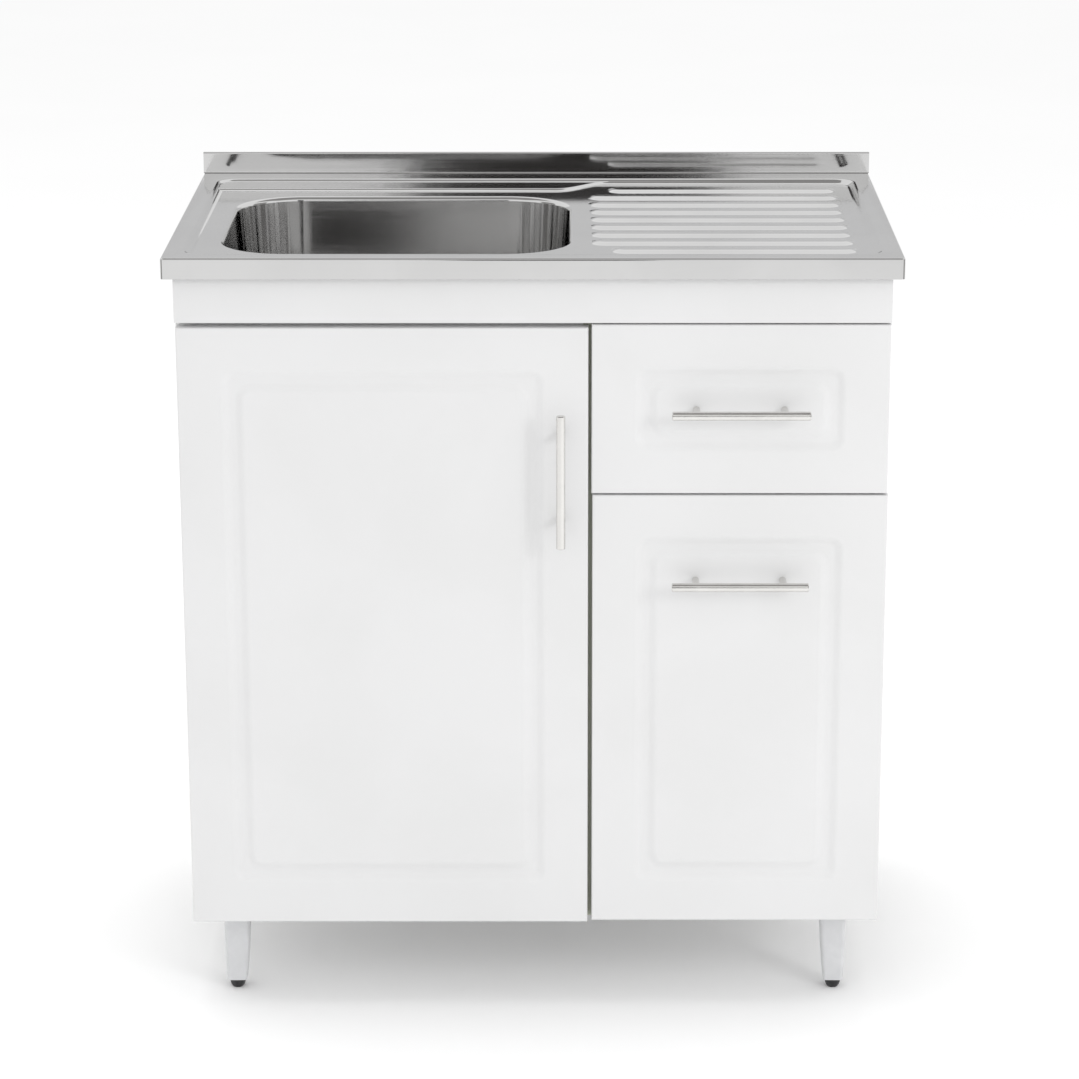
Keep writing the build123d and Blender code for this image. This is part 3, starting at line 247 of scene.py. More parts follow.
def slope(width, rise, count, ease, start=0.0, end=1.0):
    """Steps (inwards, upwards) down or up an eased slope, or along a part of it."""
    steps = []
    for index in range(count):
        near = start + (end - start) * index / count
        far = start + (end - start) * (index + 1) / count
        steps.append((width * (far - near), rise * (eased(far, ease) - eased(near, ease))))
    return steps


def round_plate(name, x, y, z, corner, segments):
    """Flat plate with round corners, the start of a pressed form."""
    new_selection()
    size_x, size_y = x[1] - x[0], y[1] - y[0]
    place = ((x[0] + x[1]) / 2, (y[0] + y[1]) / 2, z)
    bpy.ops.mesh.primitive_plane_add(size=1, location=place)
    plate = bpy.context.object
    plate.name = name
    plate.scale = (size_x, size_y, 1)
    settle(plate)
    edit(plate)
    bpy.ops.mesh.select_all(action="SELECT")
    bpy.ops.mesh.bevel(offset=corner, segments=segments, profile=0.5, affect="VERTICES")
    leave()
    return plate


def settle(piece):
    """Take a piece's place, turn and size into its mesh."""
    new_selection(piece)
    bpy.ops.object.transform_apply(location=True, rotation=True, scale=True)


def joined(pieces):
    """Join pieces into the first one."""
    new_selection(pieces[0])
    for piece in pieces:
        piece.select_set(True)
    bpy.ops.object.join()
    return pieces[0]


def copied(piece, name, by):
    """Copy a piece, with a mesh of its own, to another place."""
    new_selection(piece)
    bpy.ops.object.duplicate(linked=False)
    copy = bpy.context.object
    copy.name = name
    copy.location = by
    settle(copy)
    return copy


def apply_modifiers(piece):
    """Apply all of a piece's modifiers in their order."""
    new_selection(piece)
    for modifier in list(piece.modifiers):
        bpy.ops.object.modifier_apply(modifier=modifier.name)


def outwards(piece, test):
    """Turn all faces the same way, with the faces that pass a test facing up or forwards."""
    edit(piece)
    bpy.ops.mesh.select_all(action="SELECT")
    bpy.ops.mesh.remove_doubles(threshold=MERGE)
    bpy.ops.mesh.normals_make_consistent(inside=False)
    mesh = bmesh.from_edit_mesh(piece.data)
    mesh.normal_update()
    if not any(test(face.normal, face.calc_center_median()) for face in mesh.faces):
        bpy.ops.mesh.flip_normals()
    leave()


def smooth(piece, degrees=CREASE):
    """Smooth shading, with the corners sharper than an angle left crisp."""
    new_selection(piece)
    bpy.ops.object.shade_smooth_by_angle(angle=math.radians(degrees))


# ---------------------------------------------------------------- the pressed steel top
def rim_and_apron():
    """Flat rim with its rounded edge, folded apron and hem, open at the back."""
    cut = UPSTAND_FRONT - FOLD
    x = (SINK_LOW.x, SINK_HIGH.x)
    y = (SINK_LOW.y, SINK_HIGH.y + BEYOND)
    rim = round_plate("sink_sheet", x, y, RIM - APRON, APRON_CORNER, EDGE_STEPS)
    edit(rim)
    pick(rim, "FACE", lambda face: True)
    for height in (SUPPORT, APRON - RIM_EDGE - 2 * SUPPORT, SUPPORT):
        pull(z=height)
    draw(bend(RIM_EDGE, 90, 0, EDGE_STEPS))
    draw([(SUPPORT, 0)])
    pick(rim, "FACE", level(RIM - APRON))
    draw([(HEM, 0)])
    bpy.ops.mesh.delete(type="FACE")
    bpy.ops.mesh.select_all(action="SELECT")
    bpy.ops.mesh.bisect(plane_co=(0, cut, 0), plane_no=(0, 1, 0), clear_outer=True)
    pick(rim, "EDGE", lambda edge: edge.is_boundary and at(middle(edge).y, cut)
         and middle(edge).z < RIM - SUPPORT)
    pull(y=FOLD + SHEET)
    upstand(rim, cut)
    pick(rim, "FACE", lambda face: level(RIM)(face) and face.calc_area() > RIM_FIELD_AREA)
    bpy.ops.mesh.delete(type="ONLY_FACE")
    leave()
    return rim


def upstand(rim, cut):
    """Fold the rim's back edge up, over and down again behind."""
    pick(rim, "EDGE", lambda edge: edge.is_boundary and at(middle(edge).y, cut)
         and at(middle(edge).z, RIM))
    for inwards, upwards in bend(FOLD, 0, 90, FOLD_STEPS):
        pull(y=inwards, z=upwards)
    for height in (SUPPORT, SINK_HIGH.z - RIM - FOLD - UPSTAND_ROUND - 2 * SUPPORT, SUPPORT):
        pull(z=height)
    for inwards, upwards in bend(UPSTAND_ROUND, 90, 0, FOLD_STEPS):
        pull(y=inwards, z=upwards)
    pull(y=UPSTAND_DEPTH - 2 * UPSTAND_ROUND)
    for inwards, upwards in bend(UPSTAND_ROUND, 0, -90, FOLD_STEPS):
        pull(y=inwards, z=upwards)
    pull(z=UPSTAND_ROUND - UPSTAND_RETURN)
    half = SINK_HIGH.x - RIM_EDGE       # the folded-up edge is as wide as the rim's flat top
    pick(rim, "VERT", lambda corner: corner.co.y > cut + SUPPORT
         and corner.co.z > RIM + SUPPORT / 2)
    bpy.ops.transform.resize(value=(SINK_HIGH.x / half, 1, 1), center_override=(0, 0, 0))


def recess():
    """Sloping side of the recess, with the ledge behind the bowl, round an open floor."""
    x = (SINK_LOW.x + RIM_FLAT, SINK_HIGH.x - RIM_FLAT)
    y = (SINK_LOW.y + RIM_FLAT, SINK_HIGH.y - RECESS_BACK)
    field = round_plate("recess", x, y, RIM, RECESS_CORNER, CORNER_STEPS)
    upper = slope(RECESS_SLOPE, -RECESS_DEPTH, EDGE_STEPS, RECESS_EASE, end=LEDGE_SHARE)
    lower = slope(RECESS_SLOPE, -RECESS_DEPTH, EDGE_STEPS, RECESS_EASE, start=LEDGE_SHARE)
    edit(field)
    pick(field, "FACE", lambda face: True)
    draw([(SUPPORT, 0)] + upper)
    ledge_top = RIM + sum(step[1] for step in upper)
    front = SINK_HIGH.y - RECESS_BACK - LEDGE_DEPTH + sum(step[0] for step in lower)
    back = y[1] - SUPPORT - sum(step[0] for step in upper)
    bpy.ops.mesh.bisect(plane_co=(0, front, 0), plane_no=(0, 1, 0))
    for bend_x in LEDGE_BEND:
        pick(field, "FACE", lambda face: level(ledge_top)(face)
             and face.calc_center_median().y > front)
        bpy.ops.mesh.bisect(plane_co=(bend_x, 0, 0), plane_no=(1, 0, 0))
    ends = [(LEDGE_BEND[0], front), (LEDGE_BEND[1], back)]

    def at_an_end(corner):
        return any(at(corner.co.x, end_x) and at(corner.co.y, end_y) for end_x, end_y in ends)

    pick(field, "VERT", at_an_end)
    bpy.ops.mesh.vert_connect()
    pick(field, "EDGE", lambda edge: all(at_an_end(corner) for corner in edge.verts))
    bpy.ops.mesh.subdivide(number_cuts=LEDGE_CUTS)
    curve_the_ledge(field, ledge_top, front, back)
    pick(field, "FACE", lambda face: level(ledge_top)(face)
         and behind_ledge_line(face.calc_center_median(), front, back))
    bpy.ops.mesh.dissolve_faces()
    draw([(SUPPORT, 0)])
    narrow = 100 * MM * SUPPORT     # the support ring's faces along the S-curve are smaller
    pick(field, "FACE", lambda face: level(ledge_top)(face) and face.calc_area() > narrow
         and not behind_ledge_line(face.calc_center_median(), front, back))
    bpy.ops.mesh.dissolve_faces()
    draw(lower + [(SUPPORT, 0)])
    bpy.ops.mesh.delete(type="ONLY_FACE")
    leave()
    return field


def ledge_line(x, front, back):
    """Y of the ledge's front line: straight behind the bowl, then an S-curve to the back."""
    share = (x - LEDGE_BEND[0]) / (LEDGE_BEND[1] - LEDGE_BEND[0])
    share = min(max(share, 0), 1)
    return front + (back - front) * (1 - math.cos(math.pi * share)) / 2


def behind_ledge_line(point, front, back):
    """True on the raised ledge."""
    return point.y > ledge_line(point.x, front, back) and point.x < LEDGE_BEND[1]


def curve_the_ledge(field, top, front, back):
    """Move the ledge's cut line onto its S-curve."""
    mesh = bmesh.from_edit_mesh(field.data)
    run = LEDGE_BEND[1] - LEDGE_BEND[0]
    for corner in mesh.verts:
        share = (corner.co.x - LEDGE_BEND[0]) / run
        on_cut = at(corner.co.z, top) and 0 < share < 1
        if on_cut and at(corner.co.y, front + (back - front) * share):
            corner.co.y = ledge_line(corner.co.x, front, back)
    bmesh.update_edit_mesh(field.data)


def bowl():
    """Pressed bowl with its lip, sloping walls, rounded floor and drain hole."""
    grow = BOWL_LIP * math.tan(math.radians(45 - BOWL_DRAFT / 2))
    x = (BOWL_X[0] - grow, BOWL_X[1] + grow)
    y = (BOWL_Y[0] - grow, BOWL_Y[1] + grow)
    press = round_plate("bowl", x, y, RECESS_FLOOR, BOWL_CORNER + grow, BOWL_CORNER_STEPS)
    steep = 90 - BOWL_DRAFT
    lip = bend(BOWL_LIP, 0, -steep, LIP_STEPS)
    foot = bend(BOWL_FLOOR_ROUND, -steep, 0, FLOOR_STEPS)
    rest = -BOWL_DEPTH - sum(step[1] for step in lip + foot)
    lean = math.tan(math.radians(BOWL_DRAFT))
    wall = [(SUPPORT * lean, -SUPPORT), (-(rest + 2 * SUPPORT) * lean, rest + 2 * SUPPORT),
            (SUPPORT * lean, -SUPPORT)]
    edit(press)
    pick(press, "FACE", lambda face: True)
    draw([(SUPPORT, 0)] + lip + wall + foot + [(SUPPORT, 0)])
    bpy.ops.mesh.delete(type="ONLY_FACE")
    leave()
    floor_z = RECESS_FLOOR - BOWL_DEPTH
    place = ((BOWL_X[0] + BOWL_X[1]) / 2, (BOWL_Y[0] + BOWL_Y[1]) / 2, floor_z)
    new_selection()
    bpy.ops.mesh.primitive_circle_add(
        vertices=DRAIN_SIDES, radius=DRAIN_RING, fill_type="NGON", location=place)
    drain = bpy.context.object
    settle(drain)
    edit(drain)
    pick(drain, "FACE", lambda face: True)
    draw([(DRAIN_RING - DRAIN_HOLE, 0)])
    bpy.ops.mesh.delete(type="FACE")
    leave()
    press = joined([press, drain])
    fill_between(press, floor_z, lambda point: True, DRAIN_HOLE + SUPPORT, place)
    return press


def fill_between(piece, z, test, clear=0.0, centre=(0, 0, 0)):
    """Fill the flat field between the open edges at a height, leaving the drain open."""
    edit(piece)
    pick(piece, "EDGE", lambda edge: open_edge_at(z)(edge) and test(middle(edge))
         and (middle(edge) - Vector(centre)).length > clear)
    bpy.ops.mesh.fill(use_beauty=True)
    leave()


def rib(setback, index):
    """One raised rib of the drainer, with rounded ends."""
    x = (RIB_X[0] + setback, RIB_X[1])
    centre = SINK_LOW.y + RIB_FIRST + index * RIB_PITCH
    y = (centre - RIB_WIDTH / 2, centre + RIB_WIDTH / 2)
    made = round_plate("rib", x, y, RECESS_FLOOR, RIB_WIDTH / 2 - RIB_END_FLAT, CORNER_STEPS)
    edit(made)
    pick(made, "FACE", lambda face: True)
    draw([(SUPPORT, 0)] + slope(RIB_SLOPE, RIB_HEIGHT, RIB_STEPS, RIB_EASE))
    leave()
    return made


def ribs():
    """All the drainer's ribs: a long one and a shorter outer one, each copied to its places."""
    made = []
    for setback, places in ((0, range(1, RIBS - 1)), (RIB_SETBACK, (0, RIBS - 1))):
        model = rib(setback, places[0])
        made.append(model)
        for index in places[1:]:
            made.append(copied(model, "rib", (0, (index - places[0]) * RIB_PITCH, 0)))
    return made


def sink_sheet():
    """The whole pressed top: rim, apron, upstand, recess, ledge, drainer and bowl."""
    parts = [rim_and_apron(), recess(), bowl()] + ribs()
    sheet = joined(parts)
    fill_between(sheet, RIM, lambda point: point.y < UPSTAND_FRONT)
    fill_between(sheet, RECESS_FLOOR, lambda point: True)
    outwards(sheet, lambda normal, place: normal.z > FACING and place.z > RIM - SHEET / 2)
    wall = sheet.modifiers.new("sheet", "SOLIDIFY")
    wall.thickness = SHEET
    wall.offset = -1
    wall.use_quality_normals = True
    apply_modifiers(sheet)
    smooth(sheet)
    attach(sheet, "cabinet")
    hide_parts("sink_top")
    return sheet


# ---------------------------------------------------------------- the foil-wrapped fronts
def routed_front(name, node, body, hinge_side=False):
    """Front with rounded edges and a routed frame, shaped lying on its back, then stood up."""
    low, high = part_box(node)
    wide, tall, thick = high.x - low.x, high.z - low.z, high.y - low.y
    new_selection()
    bpy.ops.mesh.primitive_cube_add(size=1, location=(0, 0, thick / 2))
    front = bpy.context.object
    front.name = name
    front.scale = (wide, tall, thick)
    settle(front)
    edit(front)
    if hinge_side:
        pick(front, "EDGE", lambda edge: all(
            at(corner.co.x, -wide / 2) and at(corner.co.z, 0) for corner in edge.verts))
        bpy.ops.mesh.bevel(offset=HINGE_EDGE_ROUND, segments=ROUND_STEPS, affect="EDGES")
    pick(front, "EDGE", lambda edge: all(at(corner.co.z, thick) for corner in edge.verts))
    bpy.ops.mesh.bevel(offset=EDGE_ROUND, segments=ROUND_STEPS, affect="EDGES")
    pick(front, "FACE", level(thick))
    draw([(SUPPORT, 0), (FRAME_INSET - EDGE_ROUND - SUPPORT, 0)])
    bpy.ops.mesh.bevel(offset=FRAME_CORNER, segments=FRAME_STEPS, affect="VERTICES")
    pick(front, "FACE", lambda face: level(thick)(face)
         and face.calc_center_median().length < thick + MM)
    down = slope(FRAME_SLOPE, -FRAME_DEPTH, FRAME_STEPS, FRAME_EASE)
    draw([(SUPPORT, 0)] + down + [(SUPPORT, 0)])
    bpy.ops.mesh.delete(type="ONLY_FACE")
    leave()
    half_x = wide / 2 - FRAME_INSET - FRAME_SLOPE - FRAME_FLOOR
    half_y = tall / 2 - FRAME_INSET - FRAME_SLOPE - FRAME_FLOOR
    field = round_plate(
        "field", (-half_x, half_x), (-half_y, half_y), thick - FRAME_DEPTH, FIELD_CORNER,
        CORNER_STEPS)
    edit(field)
    pick(field, "FACE", lambda face: True)
    up = slope(FRAME_SLOPE, FRAME_DEPTH, FRAME_STEPS, FRAME_EASE)
    draw([(SUPPORT, 0)] + up + [(SUPPORT, 0)])
    leave()
    front = joined([front, field])
    fill_between(front, thick - FRAME_DEPTH, lambda point: True)
    new_selection(front)
    front.rotation_euler = (math.radians(90), 0, 0)
    front.location = ((low.x + high.x) / 2, high.y, (low.z + high.z) / 2)
    settle(front)
    outwards(front, lambda normal, place: normal.y < -FACING and at(place.y, low.y))
    smooth(front)
    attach(front, body)
    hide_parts(node)
    return front


def bore_for_cups(door):
    """Cut the two blind bores that the hinge cups sit in."""
    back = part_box("door_panel")[1].y
    for low, high in CUP_BOXES:
        new_selection()
        place = (CUP_X, back - CUP_BORE_DEPTH / 2 + MM, (low.z + high.z) / 2)
        bpy.ops.mesh.primitive_cylinder_add(
            vertices=BORE_SIDES, radius=CUP_BORE, depth=CUP_BORE_DEPTH + 2 * MM, location=place,
            rotation=(math.radians(90), 0, 0))
        cutter = bpy.context.object
        settle(cutter)
        cut = door.modifiers.new("bore", "BOOLEAN")
        cut.object = cutter
        cut.operation = "DIFFERENCE"
        cut.solver = "EXACT"
        apply_modifiers(door)
        bpy.data.objects.remove(cutter, do_unlink=True)
    smooth(door)


# ---------------------------------------------------------------- the moulded legs
def moulded_leg(name):
    """Leg whose inner side swells a little as it tapers, under its square mounting plate."""
    low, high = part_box(name)
    centre = ((low.x + high.x) / 2, (low.y + high.y) / 2)
    outside = 1 if centre[0] > 0 else -1
    top = high.z - LEG_PLATE_THICK

    def square(label, half):
        return round_plate(label, (centre[0] - half, centre[0] + half),
                           (centre[1] - half, centre[1] + half), top, LEG_CORNER, EDGE_STEPS)

    leg = square(name + "_moulding", LEG_TOP / 2)
    edit(leg)
    pick(leg, "FACE", lambda face: True)
    drop = (top - low.z) / LEG_STEPS
    width, last_x = LEG_TOP, centre[0]
    for index in range(1, LEG_STEPS + 1):
        share = index / LEG_STEPS
        bulge = LEG_BULGE * 4 * share * (1 - share)     # greatest half way down
        goal = LEG_TOP + (LEG_FOOT - LEG_TOP) * share + bulge
        pull(z=-drop)
        here = top - drop * index
        middle_x = centre[0] + outside * (LEG_SPLAY * share - bulge / 2)
        bpy.ops.transform.resize(
            value=(goal / width, goal / width, 1), center_override=(last_x, centre[1], here))
        move(x=middle_x - last_x)
        width, last_x = goal, middle_x
    leave()
    plate = square("plate", LEG_PLATE / 2)
    edit(plate)
    pick(plate, "FACE", lambda face: True)
    pull(z=LEG_PLATE_THICK - SUPPORT)
    draw([(SUPPORT, SUPPORT)])
    leave()
    leg = joined([leg, plate])
    edit(leg)
    bpy.ops.mesh.select_all(action="SELECT")
    bpy.ops.mesh.normals_make_consistent(inside=False)
    leave()
    smooth(leg, LEG_CREASE)
    return leg


def legs():
    """A left and a right leg at the front, and a copy of each at the back."""
    for side in ("left", "right"):
        front, rear = "front_" + side + "_leg", "rear_" + side + "_leg"
        moulding = moulded_leg(front)
        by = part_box(rear)[0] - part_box(front)[0]
        for leg, node in ((moulding, front), (copied(moulding, rear + "_moulding", by), rear)):
            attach(leg, "cabinet")
            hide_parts(node)
            dress(leg, FINISHES["leg_plastic"])


# ---------------------------------------------------------------- shared shader effects
def new_group(name, inputs, outputs):
    """Empty node group with named sockets, and its two ends."""
    tree = bpy.data.node_groups.new(name, "ShaderNodeTree")
    for label, kind, value in inputs:
        socket = tree.interface.new_socket(label, in_out="INPUT", socket_type=kind)
        if value is not None:
            socket.default_value = value
    for label, kind in outputs:
        tree.interface.new_socket(label, in_out="OUTPUT", socket_type=kind)
    return tree, tree.nodes.new("NodeGroupInput"), tree.nodes.new("NodeGroupOutput")


def grain_group():
    """Fine grain, drawn out along an axis where it is stretched."""
    tree, entry, leaving = new_group(
        "grain",
        [("Place", "NodeSocketVector", None), ("Fineness", "NodeSocketVector", (100, 100, 100))],
        [("Height", "NodeSocketFloat")])
    scaled = tree.nodes.new("ShaderNodeVectorMath")
    scaled.operation = "MULTIPLY"
    noise = tree.nodes.new("ShaderNodeTexNoise")
    noise.inputs["Scale"].default_value = 1
    noise.inputs["Detail"].default_value = 3
    noise.inputs["Roughness"].default_value = 0.6
    tree.links.new(entry.outputs["Place"], scaled.inputs[0])
    tree.links.new(entry.outputs["Fineness"], scaled.inputs[1])
    tree.links.new(scaled.outputs["Vector"], noise.inputs["Vector"])
    tree.links.new(noise.outputs["Fac"], leaving.inputs["Height"])
    return tree


def mottle_group():
    """Soft cloudy patches between two limits."""
    tree, entry, leaving = new_group(
        "mottle",
        [("Place", "NodeSocketVector", None), ("Scale", "NodeSocketFloat", 8.0),
         ("Low", "NodeSocketFloat", 0.35), ("High", "NodeSocketFloat", 0.65)],
        [("Mask", "NodeSocketFloat")])
    noise = tree.nodes.new("ShaderNodeTexNoise")
    noise.inputs["Detail"].default_value = 4
    noise.inputs["Distortion"].default_value = 0.4
    limits = tree.nodes.new("ShaderNodeMapRange")
    limits.interpolation_type = "SMOOTHSTEP"
    tree.links.new(entry.outputs["Place"], noise.inputs["Vector"])
    tree.links.new(entry.outputs["Scale"], noise.inputs["Scale"])
    tree.links.new(noise.outputs["Fac"], limits.inputs["Value"])
    tree.links.new(entry.outputs["Low"], limits.inputs["From Min"])
    tree.links.new(entry.outputs["High"], limits.inputs["From Max"])
    tree.links.new(limits.outputs["Result"], leaving.inputs["Mask"])
    return tree


def edge_wear_group():
    """Rubbed edges: where the rounded-over normal leaves the true one."""
    tree, entry, leaving = new_group(
        "edge_wear",
        [("Radius", "NodeSocketFloat", 0.001), ("Amount", "NodeSocketFloat", 4.0)],
        [("Mask", "NodeSocketFloat")])
    rounded = tree.nodes.new("ShaderNodeBevel")
    rounded.samples = 4
    true = tree.nodes.new("ShaderNodeNewGeometry")
    both = tree.nodes.new("ShaderNodeVectorMath")
    both.operation = "DOT_PRODUCT"
    lost = tree.nodes.new("ShaderNodeMath")
    lost.operation = "SUBTRACT"
    lost.inputs[0].default_value = 1
    scaled = tree.nodes.new("ShaderNodeMath")
    scaled.operation = "MULTIPLY"
    scaled.use_clamp = True
    tree.links.new(entry.outputs["Radius"], rounded.inputs["Radius"])
    tree.links.new(rounded.outputs["Normal"], both.inputs[0])
    tree.links.new(true.outputs["Normal"], both.inputs[1])
    tree.links.new(both.outputs["Value"], lost.inputs[1])
    tree.links.new(lost.outputs["Value"], scaled.inputs[0])
    tree.links.new(entry.outputs["Amount"], scaled.inputs[1])
    tree.links.new(scaled.outputs["Value"], leaving.inputs["Mask"])
    return tree


GRAIN = grain_group()
MOTTLE = mottle_group()
EDGE_WEAR = edge_wear_group()


# ---------------------------------------------------------------- finishes
EDGE_TINT_SIDE = 0.1 * MM    # the darker grey-green tint's mask reaches this far past the partition's faces
EDGE_TINT_SKIN = 0.3 * MM    # and this deep behind its front edge
WEAR_RADIUS = 0.6 * MM
WEAR_AMOUNT = 3.0


def effect(material, tree, **settings):
    """Use a shared effect in a material; its sockets are set by name or linked."""
    node = material.node_tree.nodes.new("ShaderNodeGroup")
    node.node_tree = tree
    for label, value in settings.items():
        socket = node.inputs[label]
        if isinstance(value, bpy.types.NodeSocket):
            material.node_tree.links.new(value, socket)
        else:
            socket.default_value = value
    return node.outputs[0]


def math_node(material, operation, first, second, clamp=False):
    """One sum on numbers or sockets."""
    node = material.node_tree.nodes.new("ShaderNodeMath")
    node.operation = operation
    node.use_clamp = clamp
    for socket, value in zip(node.inputs, (first, second)):
        if isinstance(value, bpy.types.NodeSocket):
            material.node_tree.links.new(value, socket)
        else:
            socket.default_value = value
    return node.outputs["Value"]


def spread(material, value, low, high, to_low, to_high):
    """Bring a value from one range smoothly into another."""
    node = material.node_tree.nodes.new("ShaderNodeMapRange")
    node.interpolation_type = "SMOOTHSTEP"
    material.node_tree.links.new(value, node.inputs["Value"])
    for label, number in (("From Min", low), ("From Max", high), ("To Min", to_low),
                          ("To Max", to_high)):
        node.inputs[label].default_value = number
    return node.outputs["Result"]


def mix(material, mask, first, second):
    """Blend two colours, given as numbers or sockets, by a mask."""
    node = material.node_tree.nodes.new("ShaderNodeMix")
    node.data_type = "RGBA"
    material.node_tree.links.new(mask, node.inputs[0])
    for socket, value in ((node.inputs[6], first), (node.inputs[7], second)):
        if isinstance(value, bpy.types.NodeSocket):
            material.node_tree.links.new(value, socket)
        else:
            socket.default_value = (*value, 1)
    return node.outputs[2]


def bump(material, height, distance, below=None):
    """Raise the surface by a height, on top of another bump."""
    node = material.node_tree.nodes.new("ShaderNodeBump")
    node.inputs["Distance"].default_value = distance
    material.node_tree.links.new(height, node.inputs["Height"])
    if below:
        material.node_tree.links.new(below, node.inputs["Normal"])
    return node.outputs["Normal"]


def place_of(material):
    """Object coordinates of a material."""
    return material.node_tree.nodes.new("ShaderNodeTexCoord").outputs["Object"]


def axes(material, vector):
    """A vector's X, Y and Z."""
    split = material.node_tree.nodes.new("ShaderNodeSeparateXYZ")
    material.node_tree.links.new(vector, split.inputs["Vector"])
    return split.outputs["X"], split.outputs["Y"], split.outputs["Z"]


def start(name, metallic=0.0):
    """New node material with its shader and output joined."""
    material = bpy.data.materials.new(name)
    material.use_nodes = True
    nodes = material.node_tree.nodes
    nodes.clear()
    shader = nodes.new("ShaderNodeBsdfPrincipled")
    output = nodes.new("ShaderNodeOutputMaterial")
    material.node_tree.links.new(shader.outputs["BSDF"], output.inputs["Surface"])
    shader.inputs["Metallic"].default_value = metallic
    return material


def shader_of(material):
    """A finish's shader."""
    return material.node_tree.nodes["Principled BSDF"]


def feed(material, **sockets):
    """Link sockets to the shader's inputs, named with underscores for spaces."""
    for label, socket in sockets.items():
        goal = shader_of(material).inputs[label.replace("_", " ")]
        material.node_tree.links.new(socket, goal)


def colour_of(material):
    """The socket that a finish's colour comes from."""
    return shader_of(material).inputs["Base Color"].links[0].from_socket


def mottled(name, tones, rough, grain, depth, metallic=0.0, scale=12.0, wear=None):
    """Finish of two close tones in soft patches, with grain in its sheen and its surface."""
    material = start(name, metallic)
    place = place_of(material)
    patches = effect(material, MOTTLE, Place=place, Scale=scale)
    fine = effect(material, GRAIN, Place=place, Fineness=grain)
    colour = mix(material, patches, *tones)
    if wear:
        rubbed = effect(material, EDGE_WEAR, Radius=WEAR_RADIUS, Amount=WEAR_AMOUNT)
        spots = math_node(material, "MULTIPLY", rubbed, fine, clamp=True)
        colour = mix(material, spots, colour, wear)
    blend = math_node(material, "MULTIPLY", math_node(material, "ADD", patches, fine), 0.5)
    sheen = spread(material, blend, 0.1, 0.9, *rough)
    feed(material, Base_Color=colour, Roughness=sheen, Normal=bump(material, fine, depth))
    return material


def polished_steel():
    """Rolled and polished sheet, one finish all over: fine lines along it and faint waves."""
    material = start("polished_steel", 1)
    place = place_of(material)
    patches = effect(material, MOTTLE, Place=place, Scale=9.0)
    rolled = effect(material, GRAIN, Place=place, Fineness=(6, 1500, 1500))
    waves = effect(material, GRAIN, Place=place, Fineness=(14, 22, 22))
    colour = mix(material, patches, (0.64, 0.638, 0.635), (0.67, 0.668, 0.665))
    normal = bump(material, waves, 0.08 * MM)
    normal = bump(material, rolled, 0.0012 * MM, normal)
    feed(material, Base_Color=colour, Normal=normal,
         Roughness=spread(material, rolled, 0.3, 0.7, 0.06, 0.11))
    return material


def white_board():
    """White-faced board; the partition's front edge is coloured a darker grey-green."""
    material = mottled(
        "white_board", tones=((0.735, 0.735, 0.732), (0.75, 0.75, 0.747)), rough=(0.38, 0.52),
        grain=(900, 900, 900), depth=0.02 * MM, scale=4.0)
    x, y, z = axes(material, place_of(material))
    low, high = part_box("centre_partition")
    inside = math_node(material, "COMPARE", x, (low.x + high.x) / 2)
    inside.node.inputs[2].default_value = (high.x - low.x) / 2 + EDGE_TINT_SIDE
    front = math_node(material, "LESS_THAN", y, low.y + EDGE_TINT_SKIN)
    strip = math_node(material, "MULTIPLY", inside, front)
    upper = math_node(material, "LESS_THAN", z, high.z)
    strip = math_node(material, "MULTIPLY", strip, upper)
    # the partition's front edge is coloured a darker grey-green than the white board
    tinted_edge = mix(material, strip, colour_of(material), (0.50, 0.52, 0.42))
    feed(material, Base_Color=tinted_edge)
    return material


def hardboard():
    """Thin back panel: white inside, brown fibres outside."""
    material = mottled(
        "hardboard", tones=((0.76, 0.76, 0.75), (0.80, 0.80, 0.79)), rough=(0.5, 0.65),
        grain=(700, 700, 700), depth=0.03 * MM)
    place = place_of(material)
    geometry = material.node_tree.nodes.new("ShaderNodeNewGeometry")
    facing = axes(material, geometry.outputs["Normal"])[1]
    rear = spread(material, facing, 0.4, 0.6, 0, 1)
    fibres = effect(material, GRAIN, Place=place, Fineness=(260, 260, 60))
    brown = mix(material, fibres, (0.26, 0.15, 0.08), (0.42, 0.27, 0.15))
    feed(material, Base_Color=mix(material, rear, colour_of(material), brown))
    return material


def strainer_steel():
    """Spun steel: fine rings round the waste's axis."""
    material = start("strainer_steel", 1)
    place = place_of(material)
    x, y, z = axes(material, place)
    centre = (STRAINER_LOW + STRAINER_HIGH) / 2
    across = math_node(material, "SUBTRACT", x, centre.x)
    along = math_node(material, "SUBTRACT", y, centre.y)
    square = math_node(material, "ADD", math_node(material, "MULTIPLY", across, across),
                       math_node(material, "MULTIPLY", along, along))
    radius = math_node(material, "SQRT", square, 0.0)
    rings = material.node_tree.nodes.new("ShaderNodeCombineXYZ")
    material.node_tree.links.new(radius, rings.inputs["X"])
    material.node_tree.links.new(z, rings.inputs["Y"])
    spun = effect(material, GRAIN, Place=rings.outputs["Vector"], Fineness=(2600, 2600, 1))
    patches = effect(material, MOTTLE, Place=place, Scale=30.0)
    colour = mix(material, patches, (0.60, 0.60, 0.60), (0.66, 0.66, 0.655))
    sheen = spread(material, spun, 0.3, 0.7, 0.14, 0.26)
    feed(material, Base_Color=colour, Roughness=sheen, Normal=bump(material, spun, 0.004 * MM))
    return material


